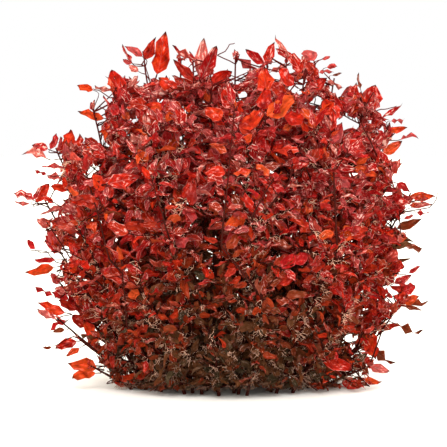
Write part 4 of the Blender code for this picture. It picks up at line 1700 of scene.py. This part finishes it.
class SEEDBOX_OT_leafy_stems(bpy.types.Operator):
    """Grow a dressed stem in place of each stem of the frame"""

    bl_idname = "seedbox.leafy_stems"
    bl_label = "Leafy stems"

    def execute(self, context):
        scene = context.scene
        tree, inputs = shared_parts(scene)
        for number, skeleton in grow_skeletons(scene.seedbox_shoots, scene.seedbox_leaves).items():
            name = f"leafy_stem_{number:02d}"
            mesh = grown_mesh(skeleton, name, tree, inputs)
            mesh.name = name
            piece = bpy.data.objects.new(name, mesh)
            scene.collection.objects.link(piece)
            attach(piece, "root")
            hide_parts(f"stem_{number:02d}")
            slot_of(APEXES[number - 1])
        return {"FINISHED"}


# Stage

# The light from all round is a warm white.
SKY_TINT = (1.0, 0.95, 0.83, 1)
# Where the lights shine from, and how wide they are in the sky.
KEY_WAY = (0.0, -1.2, 1.0)
KEY_SPREAD = math.radians(28)
FILL_WAY = (0.4, -1.3, 0.3)
FILL_SPREAD = math.radians(60)
FLOOR_RADIUS = 4.0
FLOOR_SIDES = 96


def add_floor(scene, colour):
    """A pale round floor under the bush."""
    turns = [i * math.tau / FLOOR_SIDES for i in range(FLOOR_SIDES)]
    rim = [(FLOOR_RADIUS * math.cos(a), FLOOR_RADIUS * math.sin(a), 0) for a in turns]
    mesh = bpy.data.meshes.new("floor")
    mesh.from_pydata(rim, [], [range(FLOOR_SIDES)])
    material, tree, output = new_material("floor_paint")
    place = add_node(tree, "ShaderNodeTexCoord").outputs["Object"]
    grain = add_node(tree, "ShaderNodeTexNoise", {"Vector": place, "Scale": 60.0}).outputs["Fac"]
    paint = add_mix(tree, add_product(tree, grain, 0.02), tuple(colour), (0.8, 0.8, 0.8, 1))
    surface = add_node(tree, "ShaderNodeBsdfPrincipled", {"Base Color": paint, "Roughness": 0.9})
    tree.links.new(surface.outputs[0], output.inputs["Surface"])
    mesh.materials.append(material)
    floor = bpy.data.objects.new("floor", mesh)
    scene.collection.objects.link(floor)


def add_sky(scene, strength):
    """White all round: full white to the eye, and an even light of the given strength on the bush."""
    world = bpy.data.worlds.new("white_room")
    world.use_nodes = True
    tree = world.node_tree
    tree.nodes.clear()
    seen = add_node(tree, "ShaderNodeLightPath").outputs["Is Camera Ray"]
    level = add_ramp(tree, seen, 0.0, 1.0, strength, 1.0)
    tint = add_mix(tree, seen, SKY_TINT, (1, 1, 1, 1))
    light = add_node(tree, "ShaderNodeBackground", {"Color": tint, "Strength": level})
    output = tree.nodes.new("ShaderNodeOutputWorld")
    tree.links.new(light.outputs[0], output.inputs["Surface"])
    scene.world = world


def add_light(scene, name, direction, spread, strength):
    """A soft light that shines evenly from one direction, as wide in the sky as its spread."""
    data = bpy.data.lights.new(name, "SUN")
    data.angle = spread
    data.energy = strength
    light = bpy.data.objects.new(name, data)
    light.rotation_euler = Vector(direction).to_track_quat("Z", "Y").to_euler()
    scene.collection.objects.link(light)


def add_camera(scene, stage):
    """A long lens that looks at the front of the bush from a little above."""
    data = bpy.data.cameras.new("camera")
    data.lens = stage.lens
    data.clip_end = 50
    camera = bpy.data.objects.new("camera", data)
    camera.location = stage.viewpoint
    camera.rotation_euler = (Vector(stage.target) - camera.location).to_track_quat("-Z", "Y").to_euler()
    scene.collection.objects.link(camera)
    scene.camera = camera


class SEEDBOX_OT_stage(bpy.types.Operator):
    """Set up the floor, the soft lights and the camera"""

    bl_idname = "seedbox.stage"
    bl_label = "Stage"

    def execute(self, context):
        scene = context.scene
        stage = scene.seedbox_stage
        add_floor(scene, stage.floor)
        add_sky(scene, stage.sky)
        add_light(scene, "key_light", KEY_WAY, KEY_SPREAD, stage.key)
        add_light(scene, "fill_light", FILL_WAY, FILL_SPREAD, stage.fill)
        add_camera(scene, stage)
        scene.view_settings.view_transform = "Standard"
        return {"FINISHED"}


class SEEDBOX_PT_panel(bpy.types.Panel):
    """Lists what grows the bush and its settings"""

    bl_idname = "SEEDBOX_PT_panel"
    bl_label = "Marsh seedbox"
    bl_space_type = "VIEW_3D"
    bl_region_type = "UI"
    bl_category = "Seedbox"

    def draw(self, context):
        for operator in OPERATORS:
            self.layout.operator(operator.bl_idname)
        for name, group in SETTINGS.items():
            box = self.layout.box()
            box.label(text=name)
            for key in group.__annotations__:
                box.prop(getattr(context.scene, f"seedbox_{name}"), key)


OPERATORS = (
    SEEDBOX_OT_leafy_stems,
    SEEDBOX_OT_stage,
)
SETTINGS = {
    "shoots": SeedboxShoots,
    "leaves": SeedboxLeaves,
    "colours": SeedboxColours,
    "stage": SeedboxStage,
}


def register():
    for kind in (*SETTINGS.values(), *OPERATORS, SEEDBOX_PT_panel):
        bpy.utils.register_class(kind)
    for name, group in SETTINGS.items():
        setattr(bpy.types.Scene, f"seedbox_{name}", PointerProperty(type=group))


def unregister():
    for name in SETTINGS:
        delattr(bpy.types.Scene, f"seedbox_{name}")
    for kind in reversed((*SETTINGS.values(), *OPERATORS, SEEDBOX_PT_panel)):
        bpy.utils.unregister_class(kind)


def main():
    register()
    bpy.ops.seedbox.leafy_stems()
    bpy.ops.seedbox.stage()


if __name__ == "__main__":
    main()
